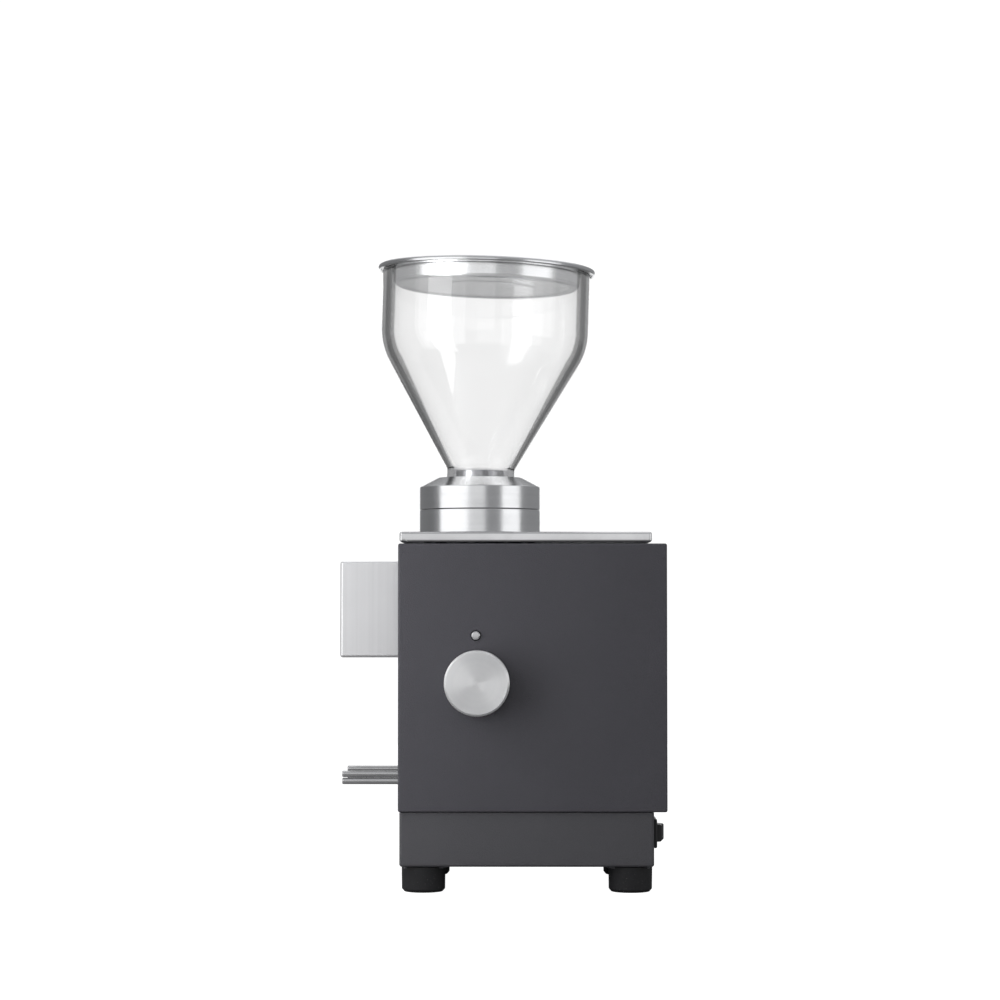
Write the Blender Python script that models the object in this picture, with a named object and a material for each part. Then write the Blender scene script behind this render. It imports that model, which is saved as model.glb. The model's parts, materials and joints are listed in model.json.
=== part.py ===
"""Burr coffee grinder, built piece by piece: a steel body on four rubber feet, a vertical motor with a
flat burr set, a turning grind ring, a lift-off hopper with its lid, a spout and a portafilter fork.

Metres, +Z up. The front, with the spout and the fork, is at -X and the dose knob is at -Y. The frame's
origin is on the floor, under the middle of the whole object's box.
"""

import math

import bmesh
import bpy
from mathutils import Matrix, Vector

# Clearances and shared thicknesses
GAP = 0.0003
CUT_PAST = 0.004
SEGMENTS = 40
SMALL_SEGMENTS = 16
SHEET = 0.0015

# Feet and base
FOOT_RADIUS = 0.0125
FOOT_HEIGHT = 0.0145
FOOT_EDGE = 0.0015
FOOT_INSET_FRONT = 0.0133
FOOT_INSET_REAR = 0.0130
FOOT_INSET_SIDE = 0.0140
FOOT_RECESS_RADIUS = 0.0055
FOOT_RECESS_DEPTH = 0.0073
SCREW_RADIUS = 0.002
SCREW_HEAD_RADIUS = 0.0038
SCREW_HEAD_HEIGHT = 0.0025
SCREW_PAST_PLATE = 0.0025
BASE_HEIGHT = 0.0306
BASE_EDGE = 0.0015
PAD_DROP = 0.0013
PAD_REACH = 0.0008
PAD_SLOPE = 0.0021

# Body
BODY_LENGTH = 0.1522
BODY_WIDTH = 0.1280
BODY_HEIGHT = 0.1516
PANEL = 0.0030
PANEL_EDGE = 0.0005
BASE_SIDE_INSET = 0.0020
FRONT_RECESS = 0.0008
REAR_RECESS = 0.0075
CROSS_PANEL = 0.0020
TOP_PLATE = 0.0025
TOP_PLATE_DROP = 0.0009
TRAY_HEIGHT = 0.0060
TRAY_LIFT = 0.0007
TRAY_SIDE_INSET = 0.0007
TRAY_REAR_INSET = 0.0010
TRAY_EDGE = 0.0010
VENT_SLOTS = 6
VENT_WIDTH = 0.0040
VENT_HEIGHT = 0.0300
VENT_PITCH = 0.0100
VENT_ABOVE_BASE = 0.0850

# Burr axis, and the stack of rings around the bean throat
AXIS_SETBACK = 0.0454
THROAT_RADIUS = 0.0149
HOPPER_WALL = 0.0050
RING_SKIRT = 0.0036
CARRIER_WALL = 0.0041
CARRIER_FLOOR_ROOM = 0.0025
CARRIER_TOP_ROOM = 0.0040
CHAMBER_NECK_WALL = 0.0041
COLLAR_OVERHANG = 0.00225
COLLAR_HEIGHT = 0.0138
RING_HEIGHT = 0.0132
SHOULDER_HEIGHT = 0.0056
SHOULDER_FLAT = 0.0041
RING_EDGE = 0.0007
SKIRT_DEPTH = 0.0184
HOPPER_SEAT_DEPTH = 0.0047
THREAD_PITCH = 0.0015
RING_TURN_DEG = 150.0

# Burrs and chamber
BURR_STEP = 0.0006
BURR_HEIGHT = 0.0062
BURR_GAP = 0.0012
BURR_BORE = 0.0130
BURR_SLOTS = 8
BURR_SLOT_WIDTH = 0.0022
BURR_SLOT_DEPTH = 0.0016
BURR_SLOT_LENGTH = 0.0160
BURR_SLOT_LEAN = 0.35
BURR_RIM = 0.0040
BURR_DISH = 0.0030
CARRIER_ABOVE_BURR = 0.0105
CAVITY_ROOM = 0.0062
CAVITY_OVERLAP = 0.0020
CAVITY_BELOW_DISC = 0.0060
CHAMBER_WALL = 0.0050
CHAMBER_FLOOR = 0.0060
DRIVE_DISC = 0.0070
DISC_HUB_RADIUS = 0.0090
DISC_HUB_DEPTH = 0.0045
SWEEPERS = 3
SWEEPER_WIDTH = 0.0040
SWEEPER_INSET = 0.0010
SWEEPER_ROOM = 0.0012
NUT_RADIUS = 0.0085
NUT_HEIGHT = 0.0050
CHAMBER_SCREWS = 4
CHAMBER_SCREW_RADIUS = 0.0015
CHAMBER_SCREW_HEAD = 0.0026
CHAMBER_SCREW_HEAD_HEIGHT = 0.0020
CHAMBER_SCREW_DEPTH = 0.0080

# Motor
SHAFT_RADIUS = 0.0050
BEARING_RADIUS = 0.0110
BEARING_HEIGHT = 0.0060
MOTOR_RADIUS = 0.0380
ROTOR_RADIUS = 0.0200
AIR_GAP = 0.0006
UPPER_BELL = 0.0160
BRACKET_ROOM = 0.0030
BELL_WALL = 0.0030
LOWER_BELL_RADIUS = 0.0260
FAN_RADIUS = 0.0300
FAN_HEIGHT = 0.0080
FAN_BLADES = 8
FAN_BLADE = 0.0016
FAN_HUB_RADIUS = 0.0105
FAN_BELOW_BELL = 0.0015
FAN_BLADE_INSET = 0.0005
ROTOR_ROOM = 0.0060

# Spout and fork
CHUTE_REACH = 0.0362
CHUTE_WIDTH = 0.0440
CHUTE_HEIGHT = 0.0560
CHUTE_BELOW_TOP = 0.0095
CHUTE_EDGE = 0.0015
CHUTE_SHEET = 0.0012
OUTLET_WIDTH = 0.0280
OUTLET_HEIGHT = 0.0160
OUTLET_WALL = 0.0030
OUTLET_PROUD = 0.0030
OUTLET_ABOVE_FLOOR = 0.0015
FORK_RADIUS = 0.0019
FORK_PITCH = 0.0041
FORK_REACH = 0.0347
FORK_ABOVE_BASE = 0.0149
FORK_HALF_SPAN = 0.0240
FORK_BRACKET_DEPTH = 0.0120
FORK_BRACKET_HEIGHT = 0.0160
FORK_BRACKET_WALL = 0.0020
FORK_BRACKET_MARGIN = 0.0060

# Hopper and lid
HOPPER_RADIUS = 0.0612
HOPPER_NECK_RISE = 0.0051
HOPPER_CONE_DEG = 30.0
HOPPER_BEND = 0.0400
HOPPER_CYLINDER = 0.0457
HOPPER_SLACK = 0.0007
HOPPER_LEAN_DEG = 1.7
LID_FLANGE_OVER = 0.0028
LID_SHEET = 0.0015
LID_RIM = 0.0014
LID_SKIRT_GAP = 0.0012
LID_SKIRT_DEPTH = 0.0105
SEAL_HEIGHT = 0.0022
SEAL_ABOVE_SEAT = 0.0100

# Dose knob and its index stud
KNOB_RADIUS = 0.0184
KNOB_LENGTH = 0.0145
KNOB_STANDOFF = 0.0010
KNOB_EDGE = 0.0008
KNOB_SETBACK = 0.0448
KNOB_ABOVE_BASE = 0.0729
KNOB_HOLLOW = 0.0100
KNOB_SHAFT_RADIUS = 0.0030
KNOB_SHAFT_PAST_PANEL = 0.0040
TIMER_HALF_SIDE = 0.0180
TIMER_TO_MOTOR = 0.0040
STUD_RADIUS = 0.0025
STUD_RING_RADIUS = 0.0034
STUD_ABOVE_KNOB = 0.0266
STUD_OFFSET = -0.0008
STUD_PROUD = 0.0015
STUD_RING_PROUD = 0.0002

# Electrical pieces
SWITCH_WIDTH = 0.0210
SWITCH_HEIGHT = 0.0166
SWITCH_BEZEL = 0.0020
SWITCH_DEPTH = 0.0180
SWITCH_LEDGE = 0.0015
SWITCH_WELL = 0.0090
SWITCH_SIDE_INSET = 0.0220
SWITCH_BELOW_DECK = 0.0128
PADDLE_WIDTH = 0.0150
PADDLE_HEIGHT = 0.0097
PADDLE_PROUD = 0.0038
PADDLE_ROCK_DEG = 8.0
PADDLE_SIDE_ROOM = 0.0008
PADDLE_END_ROOM = 0.0004
PADDLE_NOSE = 0.0012
PADDLE_EDGE = 0.0005
INLET_WIDTH = 0.0300
INLET_HEIGHT = 0.0220
INLET_SIDE_INSET = 0.0330
INLET_DEPTH = 0.0240
INLET_FLANGE = 0.0020
INLET_LEDGE = 0.0020
SOCKET_WIDTH = 0.0240
SOCKET_HEIGHT = 0.0160
SOCKET_DEPTH = 0.0180
SOCKET_PINS = 3
PIN_PITCH = 0.0070
PIN_WIDTH = 0.0020
PIN_HEIGHT = 0.0040
PIN_LENGTH = 0.0130
PIN_RISE = 0.0020
PIN_DROP = -0.0010
BOARD = 0.0016
BOARD_STANDOFF = 0.0080
BOARD_HEIGHT = 0.0600
BOARD_ABOVE_BASE = 0.0200
BOARD_MARGIN = 0.0080
BOARD_WIDTH = 0.0560
BOARD_POST_RADIUS = 0.0025
BOARD_POST_INSET = 0.0050
BOARD_PART = 0.0140
BOARD_PART_PITCH = 0.0210
BOARD_PART_HEIGHTS = (0.0110, 0.0080)
CAPACITOR_RADIUS = 0.0140
CAPACITOR_HEIGHT = 0.0550
CAPACITOR_MARGIN = 0.0060
CAPACITOR_EDGE = 0.0015
LEAD_RADIUS = 0.0022
LEAD_SAG = 0.0060
LEAD_STEPS = 10
LEAD_EDGE_INSET = 0.0040

# Heights that follow from the sizes above
BASE_BOTTOM = FOOT_HEIGHT + GAP
BASE_TOP = BASE_BOTTOM + BASE_HEIGHT
PANEL_BOTTOM = BASE_TOP + GAP
PANEL_TOP = PANEL_BOTTOM + BODY_HEIGHT
TRAY_BOTTOM = PANEL_TOP + TRAY_LIFT
TRAY_TOP = TRAY_BOTTOM + TRAY_HEIGHT
COLLAR_BOTTOM = TRAY_TOP + GAP
COLLAR_TOP = COLLAR_BOTTOM + COLLAR_HEIGHT
RING_BOTTOM = COLLAR_TOP + GAP
RING_TOP = RING_BOTTOM + RING_HEIGHT
SHOULDER_TOP = RING_TOP + SHOULDER_HEIGHT
SKIRT_BOTTOM = RING_BOTTOM - SKIRT_DEPTH
SEAT_Z = RING_BOTTOM - HOPPER_SEAT_DEPTH
LEAN_Z = SEAT_Z + SEAL_ABOVE_SEAT
PLATE_TOP = PANEL_TOP - TOP_PLATE_DROP
PLATE_BOTTOM = PLATE_TOP - TOP_PLATE
CHAMBER_SHOULDER = PLATE_BOTTOM - GAP
THREAD_TRAVEL = THREAD_PITCH * RING_TURN_DEG / 360
CARRIER_FLOOR = SKIRT_BOTTOM - THREAD_TRAVEL - CARRIER_FLOOR_ROOM
CARRIER_TOP = RING_BOTTOM - THREAD_TRAVEL - CARRIER_TOP_ROOM
CARRIER_BOTTOM = CARRIER_FLOOR - CARRIER_ABOVE_BURR
UPPER_BURR_TOP = CARRIER_BOTTOM - GAP
UPPER_BURR_BOTTOM = UPPER_BURR_TOP - BURR_HEIGHT
LOWER_BURR_TOP = UPPER_BURR_BOTTOM - BURR_GAP
LOWER_BURR_BOTTOM = LOWER_BURR_TOP - BURR_HEIGHT
DISC_TOP = LOWER_BURR_BOTTOM - GAP
DISC_BOTTOM = DISC_TOP - DRIVE_DISC
CAVITY_TOP = CARRIER_BOTTOM + CAVITY_OVERLAP
CAVITY_BOTTOM = DISC_BOTTOM - CAVITY_BELOW_DISC
CHAMBER_BOTTOM = CAVITY_BOTTOM - CHAMBER_FLOOR
UPPER_BELL_TOP = CHAMBER_BOTTOM - GAP
UPPER_BELL_BOTTOM = UPPER_BELL_TOP - UPPER_BELL
LOWER_BELL_BOTTOM = BASE_TOP + GAP
BRACKET_TOP = PANEL_BOTTOM + FORK_ABOVE_BASE + (FORK_PITCH + FORK_BRACKET_HEIGHT) / 2
LOWER_BELL_TOP = BRACKET_TOP + BRACKET_ROOM
STATOR_TOP = UPPER_BELL_BOTTOM - GAP
STATOR_BOTTOM = LOWER_BELL_TOP + GAP
SHAFT_BOTTOM = LOWER_BELL_BOTTOM + BELL_WALL + GAP
SHAFT_TOP = LOWER_BURR_TOP - GAP
KNOB_Z = PANEL_BOTTOM + KNOB_ABOVE_BASE
CHUTE_TOP = PANEL_TOP - CHUTE_BELOW_TOP
CHUTE_BOTTOM = CHUTE_TOP - CHUTE_HEIGHT

# Radii of the nested rings, from the throat outwards
NECK_RADIUS = THROAT_RADIUS + HOPPER_WALL
RING_BORE = NECK_RADIUS + HOPPER_SLACK
SKIRT_RADIUS = RING_BORE + RING_SKIRT
CARRIER_BORE = SKIRT_RADIUS + GAP
CARRIER_RADIUS = CARRIER_BORE + CARRIER_WALL
CHAMBER_BORE = CARRIER_RADIUS + GAP
CHAMBER_NECK = CHAMBER_BORE + CHAMBER_NECK_WALL
TRAY_HOLE = CHAMBER_NECK + GAP
COLLAR_RADIUS = TRAY_HOLE + COLLAR_OVERHANG
BURR_RADIUS = CARRIER_RADIUS - BURR_STEP
CAVITY_RADIUS = BURR_RADIUS + CAVITY_ROOM
CHAMBER_RADIUS = CAVITY_RADIUS + CHAMBER_WALL
BEARING_BORE = SHAFT_RADIUS + GAP

# Plan positions, measured from the middle of the side panels
HALF_LENGTH = BODY_LENGTH / 2
HALF_WIDTH = BODY_WIDTH / 2
PANEL_INNER = HALF_WIDTH - PANEL
AXIS_X = -HALF_LENGTH + AXIS_SETBACK
KNOB_X = -HALF_LENGTH + KNOB_SETBACK
STUD_X = KNOB_X + STUD_OFFSET
FRONT_X = -HALF_LENGTH + FRONT_RECESS
REAR_X = HALF_LENGTH - REAR_RECESS
BASE_HALF_WIDTH = HALF_WIDTH - BASE_SIDE_INSET
CHUTE_FRONT = FRONT_X - CHUTE_REACH
KNOB_FACE = -HALF_WIDTH - KNOB_STANDOFF - KNOB_LENGTH
FOOT_XS = {"front": FRONT_X + FOOT_INSET_FRONT, "rear": REAR_X - FOOT_INSET_REAR}
FOOT_YS = {"left": -BASE_HALF_WIDTH + FOOT_INSET_SIDE, "right": BASE_HALF_WIDTH - FOOT_INSET_SIDE}

# The whole object's box is centred on the frame's origin
FRAME_X = -(CHUTE_FRONT + HALF_LENGTH) / 2
FRAME_Y = -(KNOB_FACE + HALF_WIDTH) / 2

FINISHES = {
    "powder_coat": ((0.055, 0.055, 0.060), 0.60, 0.0),
    "rubber": ((0.012, 0.012, 0.014), 0.75, 0.0),
    "polished_steel": ((0.62, 0.61, 0.60), 0.15, 1.0),
    "brushed_steel": ((0.60, 0.60, 0.60), 0.35, 1.0),
    "zinc_steel": ((0.45, 0.46, 0.48), 0.45, 1.0),
    "tool_steel": ((0.30, 0.30, 0.32), 0.30, 1.0),
    "aluminium": ((0.60, 0.61, 0.62), 0.35, 1.0),
    "cast_aluminium": ((0.48, 0.49, 0.50), 0.55, 1.0),
    "copper_winding": ((0.45, 0.20, 0.10), 0.40, 1.0),
    "black_plastic": ((0.015, 0.015, 0.017), 0.45, 0.0),
    "white_plastic": ((0.70, 0.70, 0.68), 0.45, 0.0),
    "circuit_board": ((0.03, 0.18, 0.08), 0.50, 0.0),
    "clear_plastic": ((0.92, 0.94, 0.94), 0.05, 0.0),
}


def clear_scene():
    """Remove everything that the scene starts with."""
    for thing in list(bpy.data.objects):
        bpy.data.objects.remove(thing, do_unlink=True)


def add_frame():
    """Make the empty that carries the whole machine."""
    frame = bpy.data.objects.new("grinder_frame", None)
    bpy.context.scene.collection.objects.link(frame)
    frame.location = (FRAME_X, FRAME_Y, 0)
    return frame


def add_box(mesh, low, high):
    """Add a closed box between two corners."""
    low, high = Vector(low), Vector(high)
    place = Matrix.Translation((low + high) / 2)
    bmesh.ops.create_cube(mesh, size=1.0, matrix=place @ Matrix.Diagonal((*(high - low), 1)))


def add_rod(mesh, radius, start, end, segments=SEGMENTS):
    """Add a closed cylinder from one point to another."""
    start, end = Vector(start), Vector(end)
    run = end - start
    place = Matrix.Translation((start + end) / 2) @ run.to_track_quat("Z", "Y").to_matrix().to_4x4()
    bmesh.ops.create_cone(
        mesh, cap_ends=True, segments=segments, radius1=radius, radius2=radius, depth=run.length, matrix=place
    )


def add_turned(mesh, outline, segments=SEGMENTS):
    """Turn an outline of (radius, height) points about Z; it is closed unless it starts on the axis."""
    verts = [mesh.verts.new((radius, 0, height)) for radius, height in outline]
    pairs = list(zip(verts, verts[1:]))
    if outline[0][0] > 0:
        pairs.append((verts[-1], verts[0]))
    edges = [mesh.edges.new(pair) for pair in pairs]
    bmesh.ops.spin(
        mesh, geom=verts + edges, cent=(0, 0, 0), axis=(0, 0, 1), angle=math.tau, steps=segments, use_merge=True
    )
    bmesh.ops.remove_doubles(mesh, verts=mesh.verts, dist=0.000001)
    bmesh.ops.recalc_face_normals(mesh, faces=mesh.faces)


def rounded(centre, radius, start_deg, end_deg, steps=3):
    """Points of an arc in an outline."""
    angles = [math.radians(start_deg + (end_deg - start_deg) * n / steps) for n in range(steps + 1)]
    return [(centre[0] + radius * math.cos(a), centre[1] + radius * math.sin(a)) for a in angles]


def around(count, radius, start_deg=0.0):
    """Points spaced evenly on a circle."""
    angles = [math.radians(start_deg + 360 * n / count) for n in range(count)]
    return [Vector((radius * math.cos(a), radius * math.sin(a), 0)) for a in angles]


def new_object(name, mesh, finish, frame, place=(0, 0, 0), turn=(0, 0, 0), smooth=False):
    """Turn a bmesh into a named object with its own material, under the frame."""
    data = bpy.data.meshes.new(name)
    mesh.to_mesh(data)
    mesh.free()
    thing = bpy.data.objects.new(name, data)
    bpy.context.scene.collection.objects.link(thing)
    thing.parent = frame
    thing.location = place
    thing.rotation_euler = turn
    if smooth:
        data.shade_smooth()
        data.set_sharp_from_angle(angle=math.radians(35))
    if finish:
        thing.data.materials.append(new_material(name, *FINISHES[finish]))
    return thing


def new_material(name, colour, roughness, metallic):
    """A Principled material with a piece's colour and finish."""
    material = bpy.data.materials.new(name)
    material.use_nodes = True
    shader = material.node_tree.nodes["Principled BSDF"]
    shader.inputs["Base Color"].default_value = (*colour, 1)
    shader.inputs["Roughness"].default_value = roughness
    shader.inputs["Metallic"].default_value = metallic
    return material


def combine(target, tool_mesh, operation, frame, place=(0, 0, 0), turn=(0, 0, 0)):
    """Cut a tool shape from a piece, or join it on, and keep the tool as a hidden wire guide."""
    tool_name = f"{target.name}_{operation.lower()}_{len(target.modifiers)}"
    tool = new_object(tool_name, tool_mesh, None, frame, place, turn)
    tool.hide_render = True
    tool.display_type = "WIRE"
    modifier = target.modifiers.new(operation.title(), "BOOLEAN")
    modifier.operation = operation
    modifier.solver = "EXACT"
    modifier.object = tool


def round_edges(thing, width, segments=2, angle_deg=40):
    """Round a piece's sharp edges."""
    bevel = thing.modifiers.new("Edges", "BEVEL")
    bevel.width = width
    bevel.segments = segments
    bevel.limit_method = "ANGLE"
    bevel.angle_limit = math.radians(angle_deg)


def boxed(*corner_pairs):
    """A mesh of one or more separate boxes."""
    mesh = bmesh.new()
    for low, high in corner_pairs:
        add_box(mesh, low, high)
    return mesh


def rods(radius, ends, segments=SMALL_SEGMENTS):
    """A mesh of one or more separate cylinders."""
    mesh = bmesh.new()
    for start, end in ends:
        add_rod(mesh, radius, start, end, segments)
    return mesh


def turned(outline, segments=SEGMENTS):
    """A mesh of one turned shape."""
    mesh = bmesh.new()
    add_turned(mesh, outline, segments)
    return mesh


def feet(frame):
    """Four rubber feet, each with the screw that holds it."""
    hole = SCREW_RADIUS + GAP
    foot = [
        (hole, FOOT_HEIGHT),
        (hole, FOOT_RECESS_DEPTH),
        (FOOT_RECESS_RADIUS, FOOT_RECESS_DEPTH),
        (FOOT_RECESS_RADIUS, 0),
        *rounded((FOOT_RADIUS - FOOT_EDGE, FOOT_EDGE), FOOT_EDGE, -90, 0, 2),
        (FOOT_RADIUS, FOOT_HEIGHT),
    ]
    head_top = FOOT_RECESS_DEPTH - GAP
    screw = [
        (0, head_top - SCREW_HEAD_HEIGHT),
        (SCREW_HEAD_RADIUS, head_top - SCREW_HEAD_HEIGHT),
        (SCREW_HEAD_RADIUS, head_top),
        (SCREW_RADIUS, head_top),
        (SCREW_RADIUS, BASE_BOTTOM + SHEET + SCREW_PAST_PLATE),
        (0, BASE_BOTTOM + SHEET + SCREW_PAST_PLATE),
    ]
    for end, foot_x in FOOT_XS.items():
        for side, foot_y in FOOT_YS.items():
            place = (foot_x, foot_y, 0)
            new_object(f"foot_{end}_{side}", turned(foot, 24), "rubber", frame, place, smooth=True)
            screw_mesh = turned(screw, SMALL_SEGMENTS)
            new_object(f"foot_screw_{end}_{side}", screw_mesh, "zinc_steel", frame, place, smooth=True)


def base_shell(frame):
    """The folded base with its deck, open below for the bottom plate."""
    low = (FRONT_X, -BASE_HALF_WIDTH, BASE_BOTTOM)
    high = (REAR_X, BASE_HALF_WIDTH, BASE_TOP)
    shell = new_object("base_shell", boxed((low, high)), "powder_coat", frame)
    round_edges(shell, BASE_EDGE)
    inner_low = (FRONT_X + SHEET, -BASE_HALF_WIDTH + SHEET, BASE_BOTTOM - CUT_PAST)
    inner_high = (REAR_X - SHEET, BASE_HALF_WIDTH - SHEET, BASE_TOP - SHEET)
    combine(shell, boxed((inner_low, inner_high)), "DIFFERENCE", frame)
    switch_y, switch_z = switch_centre()
    inlet_y, inlet_z = inlet_centre()
    openings = boxed(
        wall_opening(switch_y, switch_z, SWITCH_WIDTH - 2 * SWITCH_LEDGE, SWITCH_HEIGHT - 2 * SWITCH_LEDGE),
        wall_opening(inlet_y, inlet_z, INLET_WIDTH - 2 * INLET_LEDGE, INLET_HEIGHT - 2 * INLET_LEDGE),
    )
    combine(shell, openings, "DIFFERENCE", frame)


def wall_opening(centre_y, centre_z, width, height):
    """The two corners of a cut through the base's rear wall."""
    low = (REAR_X - SHEET - CUT_PAST, centre_y - width / 2, centre_z - height / 2)
    high = (REAR_X + CUT_PAST, centre_y + width / 2, centre_z + height / 2)
    return low, high


def bottom_plate(frame):
    """The plate that closes the base, with a pressed pad behind each foot."""
    inset = SHEET + GAP
    low = (FRONT_X + inset, -BASE_HALF_WIDTH + inset, BASE_BOTTOM)
    high = (REAR_X - inset, BASE_HALF_WIDTH - inset, BASE_BOTTOM + SHEET)
    plate = new_object("bottom_plate", boxed((low, high)), "powder_coat", frame)
    for end, foot_x in FOOT_XS.items():
        inward = 1 if end == "front" else -1
        for foot_y in FOOT_YS.values():
            combine(plate, pad(foot_x, foot_y, inward), "UNION", frame)
    holes = [
        ((x, y, BASE_BOTTOM - CUT_PAST), (x, y, BASE_BOTTOM + SHEET + CUT_PAST))
        for x in FOOT_XS.values()
        for y in FOOT_YS.values()
    ]
    combine(plate, rods(SCREW_RADIUS + GAP, holes), "DIFFERENCE", frame)


def pad(foot_x, foot_y, inward):
    """A low wedge beside a foot, on the side that faces the middle of the base."""
    start = foot_x + inward * (FOOT_RADIUS + GAP)
    end = start + inward * (PAD_REACH + PAD_SLOPE)
    mesh = boxed(
        (
            (min(start, end), foot_y - FOOT_RADIUS / 2, BASE_BOTTOM - PAD_DROP),
            (max(start, end), foot_y + FOOT_RADIUS / 2, BASE_BOTTOM + SHEET / 2),
        )
    )
    for vert in mesh.verts:
        if vert.co.z < BASE_BOTTOM and abs(vert.co.x - end) < GAP:
            vert.co.x -= inward * PAD_SLOPE
    return mesh


def side_panels(frame):
    """The two flat side panels; the left one is cut for the knob's shaft and the index stud."""
    for side, sign in (("left", -1), ("right", 1)):
        low_y, high_y = sorted((sign * PANEL_INNER, sign * HALF_WIDTH))
        corners = ((-HALF_LENGTH, low_y, PANEL_BOTTOM), (HALF_LENGTH, high_y, PANEL_TOP))
        panel = new_object(f"side_panel_{side}", boxed(corners), "powder_coat", frame)
        round_edges(panel, PANEL_EDGE, 1)
        if side == "left":
            outside, inside = -HALF_WIDTH - CUT_PAST, -PANEL_INNER + CUT_PAST
            stud_z = KNOB_Z + STUD_ABOVE_KNOB
            shaft_hole = [((KNOB_X, outside, KNOB_Z), (KNOB_X, inside, KNOB_Z))]
            stud_hole = [((STUD_X, outside, stud_z), (STUD_X, inside, stud_z))]
            combine(panel, rods(KNOB_SHAFT_RADIUS + GAP, shaft_hole), "DIFFERENCE", frame)
            combine(panel, rods(STUD_RING_RADIUS + GAP, stud_hole, 24), "DIFFERENCE", frame)


def front_panel(frame):
    """The panel behind the spout, cut for the outlet and for the fork's rods."""
    corners = (
        (FRONT_X, -PANEL_INNER + GAP, PANEL_BOTTOM),
        (FRONT_X + CROSS_PANEL, PANEL_INNER - GAP, PANEL_TOP),
    )
    panel = new_object("front_panel", boxed(corners), "powder_coat", frame)
    half_width, low_z, high_z = outlet_outside()
    cuts = boxed(
        (
            (FRONT_X - CUT_PAST, -half_width - GAP, low_z - GAP),
            (FRONT_X + CROSS_PANEL + CUT_PAST, half_width + GAP, high_z + GAP),
        ),
        *fork_slots(FRONT_X - CUT_PAST, FRONT_X + CROSS_PANEL + CUT_PAST),
    )
    combine(panel, cuts, "DIFFERENCE", frame)


def rear_panel(frame):
    """The set-back rear panel with its row of vent slots."""
    corners = (
        (REAR_X - CROSS_PANEL, -PANEL_INNER + GAP, PANEL_BOTTOM),
        (REAR_X, PANEL_INNER - GAP, PANEL_TOP),
    )
    panel = new_object("rear_panel", boxed(corners), "powder_coat", frame)
    slots = bmesh.new()
    low_z = PANEL_BOTTOM + VENT_ABOVE_BASE
    for n in range(VENT_SLOTS):
        slot_y = (n - (VENT_SLOTS - 1) / 2) * VENT_PITCH
        low = (REAR_X - CROSS_PANEL - CUT_PAST, slot_y - VENT_WIDTH / 2, low_z)
        add_box(slots, low, (REAR_X + CUT_PAST, slot_y + VENT_WIDTH / 2, low_z + VENT_HEIGHT))
    combine(panel, slots, "DIFFERENCE", frame)


def top_plate(frame):
    """The structural plate that carries the grinding chamber."""
    corners = (
        (FRONT_X + CROSS_PANEL + GAP, -PANEL_INNER + GAP, PLATE_BOTTOM),
        (REAR_X - CROSS_PANEL - GAP, PANEL_INNER - GAP, PLATE_TOP),
    )
    plate = new_object("top_plate", boxed(corners), "zinc_steel", frame)
    low_z, high_z = PLATE_BOTTOM - CUT_PAST, PLATE_TOP + CUT_PAST
    bore = rods(TRAY_HOLE, [((0, 0, low_z), (0, 0, high_z))], SEGMENTS)
    combine(plate, bore, "DIFFERENCE", frame, (AXIS_X, 0, 0))
    holes = [((p.x, p.y, low_z), (p.x, p.y, high_z)) for p in chamber_screw_points()]
    combine(plate, rods(CHAMBER_SCREW_RADIUS + GAP, holes), "DIFFERENCE", frame, (AXIS_X, 0, 0))


def top_tray(frame):
    """The folded stainless cover with its lip turned down all round."""
    half_width = HALF_WIDTH - TRAY_SIDE_INSET
    low = (FRONT_X, -half_width, TRAY_BOTTOM)
    high = (REAR_X - TRAY_REAR_INSET, half_width, TRAY_TOP)
    tray = new_object("top_tray", boxed((low, high)), "polished_steel", frame)
    round_edges(tray, TRAY_EDGE)
    hollow = boxed(
        (
            (low[0] + SHEET, low[1] + SHEET, TRAY_BOTTOM - CUT_PAST),
            (high[0] - SHEET, high[1] - SHEET, TRAY_TOP - SHEET),
        )
    )
    combine(tray, hollow, "DIFFERENCE", frame)
    bore = rods(TRAY_HOLE, [((0, 0, TRAY_BOTTOM), (0, 0, TRAY_TOP + CUT_PAST))], SEGMENTS)
    combine(tray, bore, "DIFFERENCE", frame, (AXIS_X, 0, 0))


def chute(frame):
    """The folded spout cover, open at the bottom and against the front panel."""
    half_width = CHUTE_WIDTH / 2
    low = (CHUTE_FRONT, -half_width, CHUTE_BOTTOM)
    high = (FRONT_X - GAP, half_width, CHUTE_TOP)
    cover = new_object("chute", boxed((low, high)), "brushed_steel", frame)
    round_edges(cover, CHUTE_EDGE)
    hollow = boxed(
        (
            (CHUTE_FRONT + CHUTE_SHEET, -half_width + CHUTE_SHEET, CHUTE_BOTTOM - CUT_PAST),
            (FRONT_X + CUT_PAST, half_width - CHUTE_SHEET, CHUTE_TOP - CHUTE_SHEET),
        )
    )
    combine(cover, hollow, "DIFFERENCE", frame)


def fork_heights():
    """Heights of the lower and the upper rod."""
    low = PANEL_BOTTOM + FORK_ABOVE_BASE
    return low, low + FORK_PITCH


def fork_slots(low_x, high_x):
    """Corner pairs of the two slots that the fork's rods pass through."""
    low_z, high_z = fork_heights()
    room = FORK_RADIUS + GAP
    corners = []
    for side in (-1, 1):
        rod_y = side * FORK_HALF_SPAN
        corners.append(((low_x, rod_y - room, low_z - room), (high_x, rod_y + room, high_z + room)))
    return corners


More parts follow.
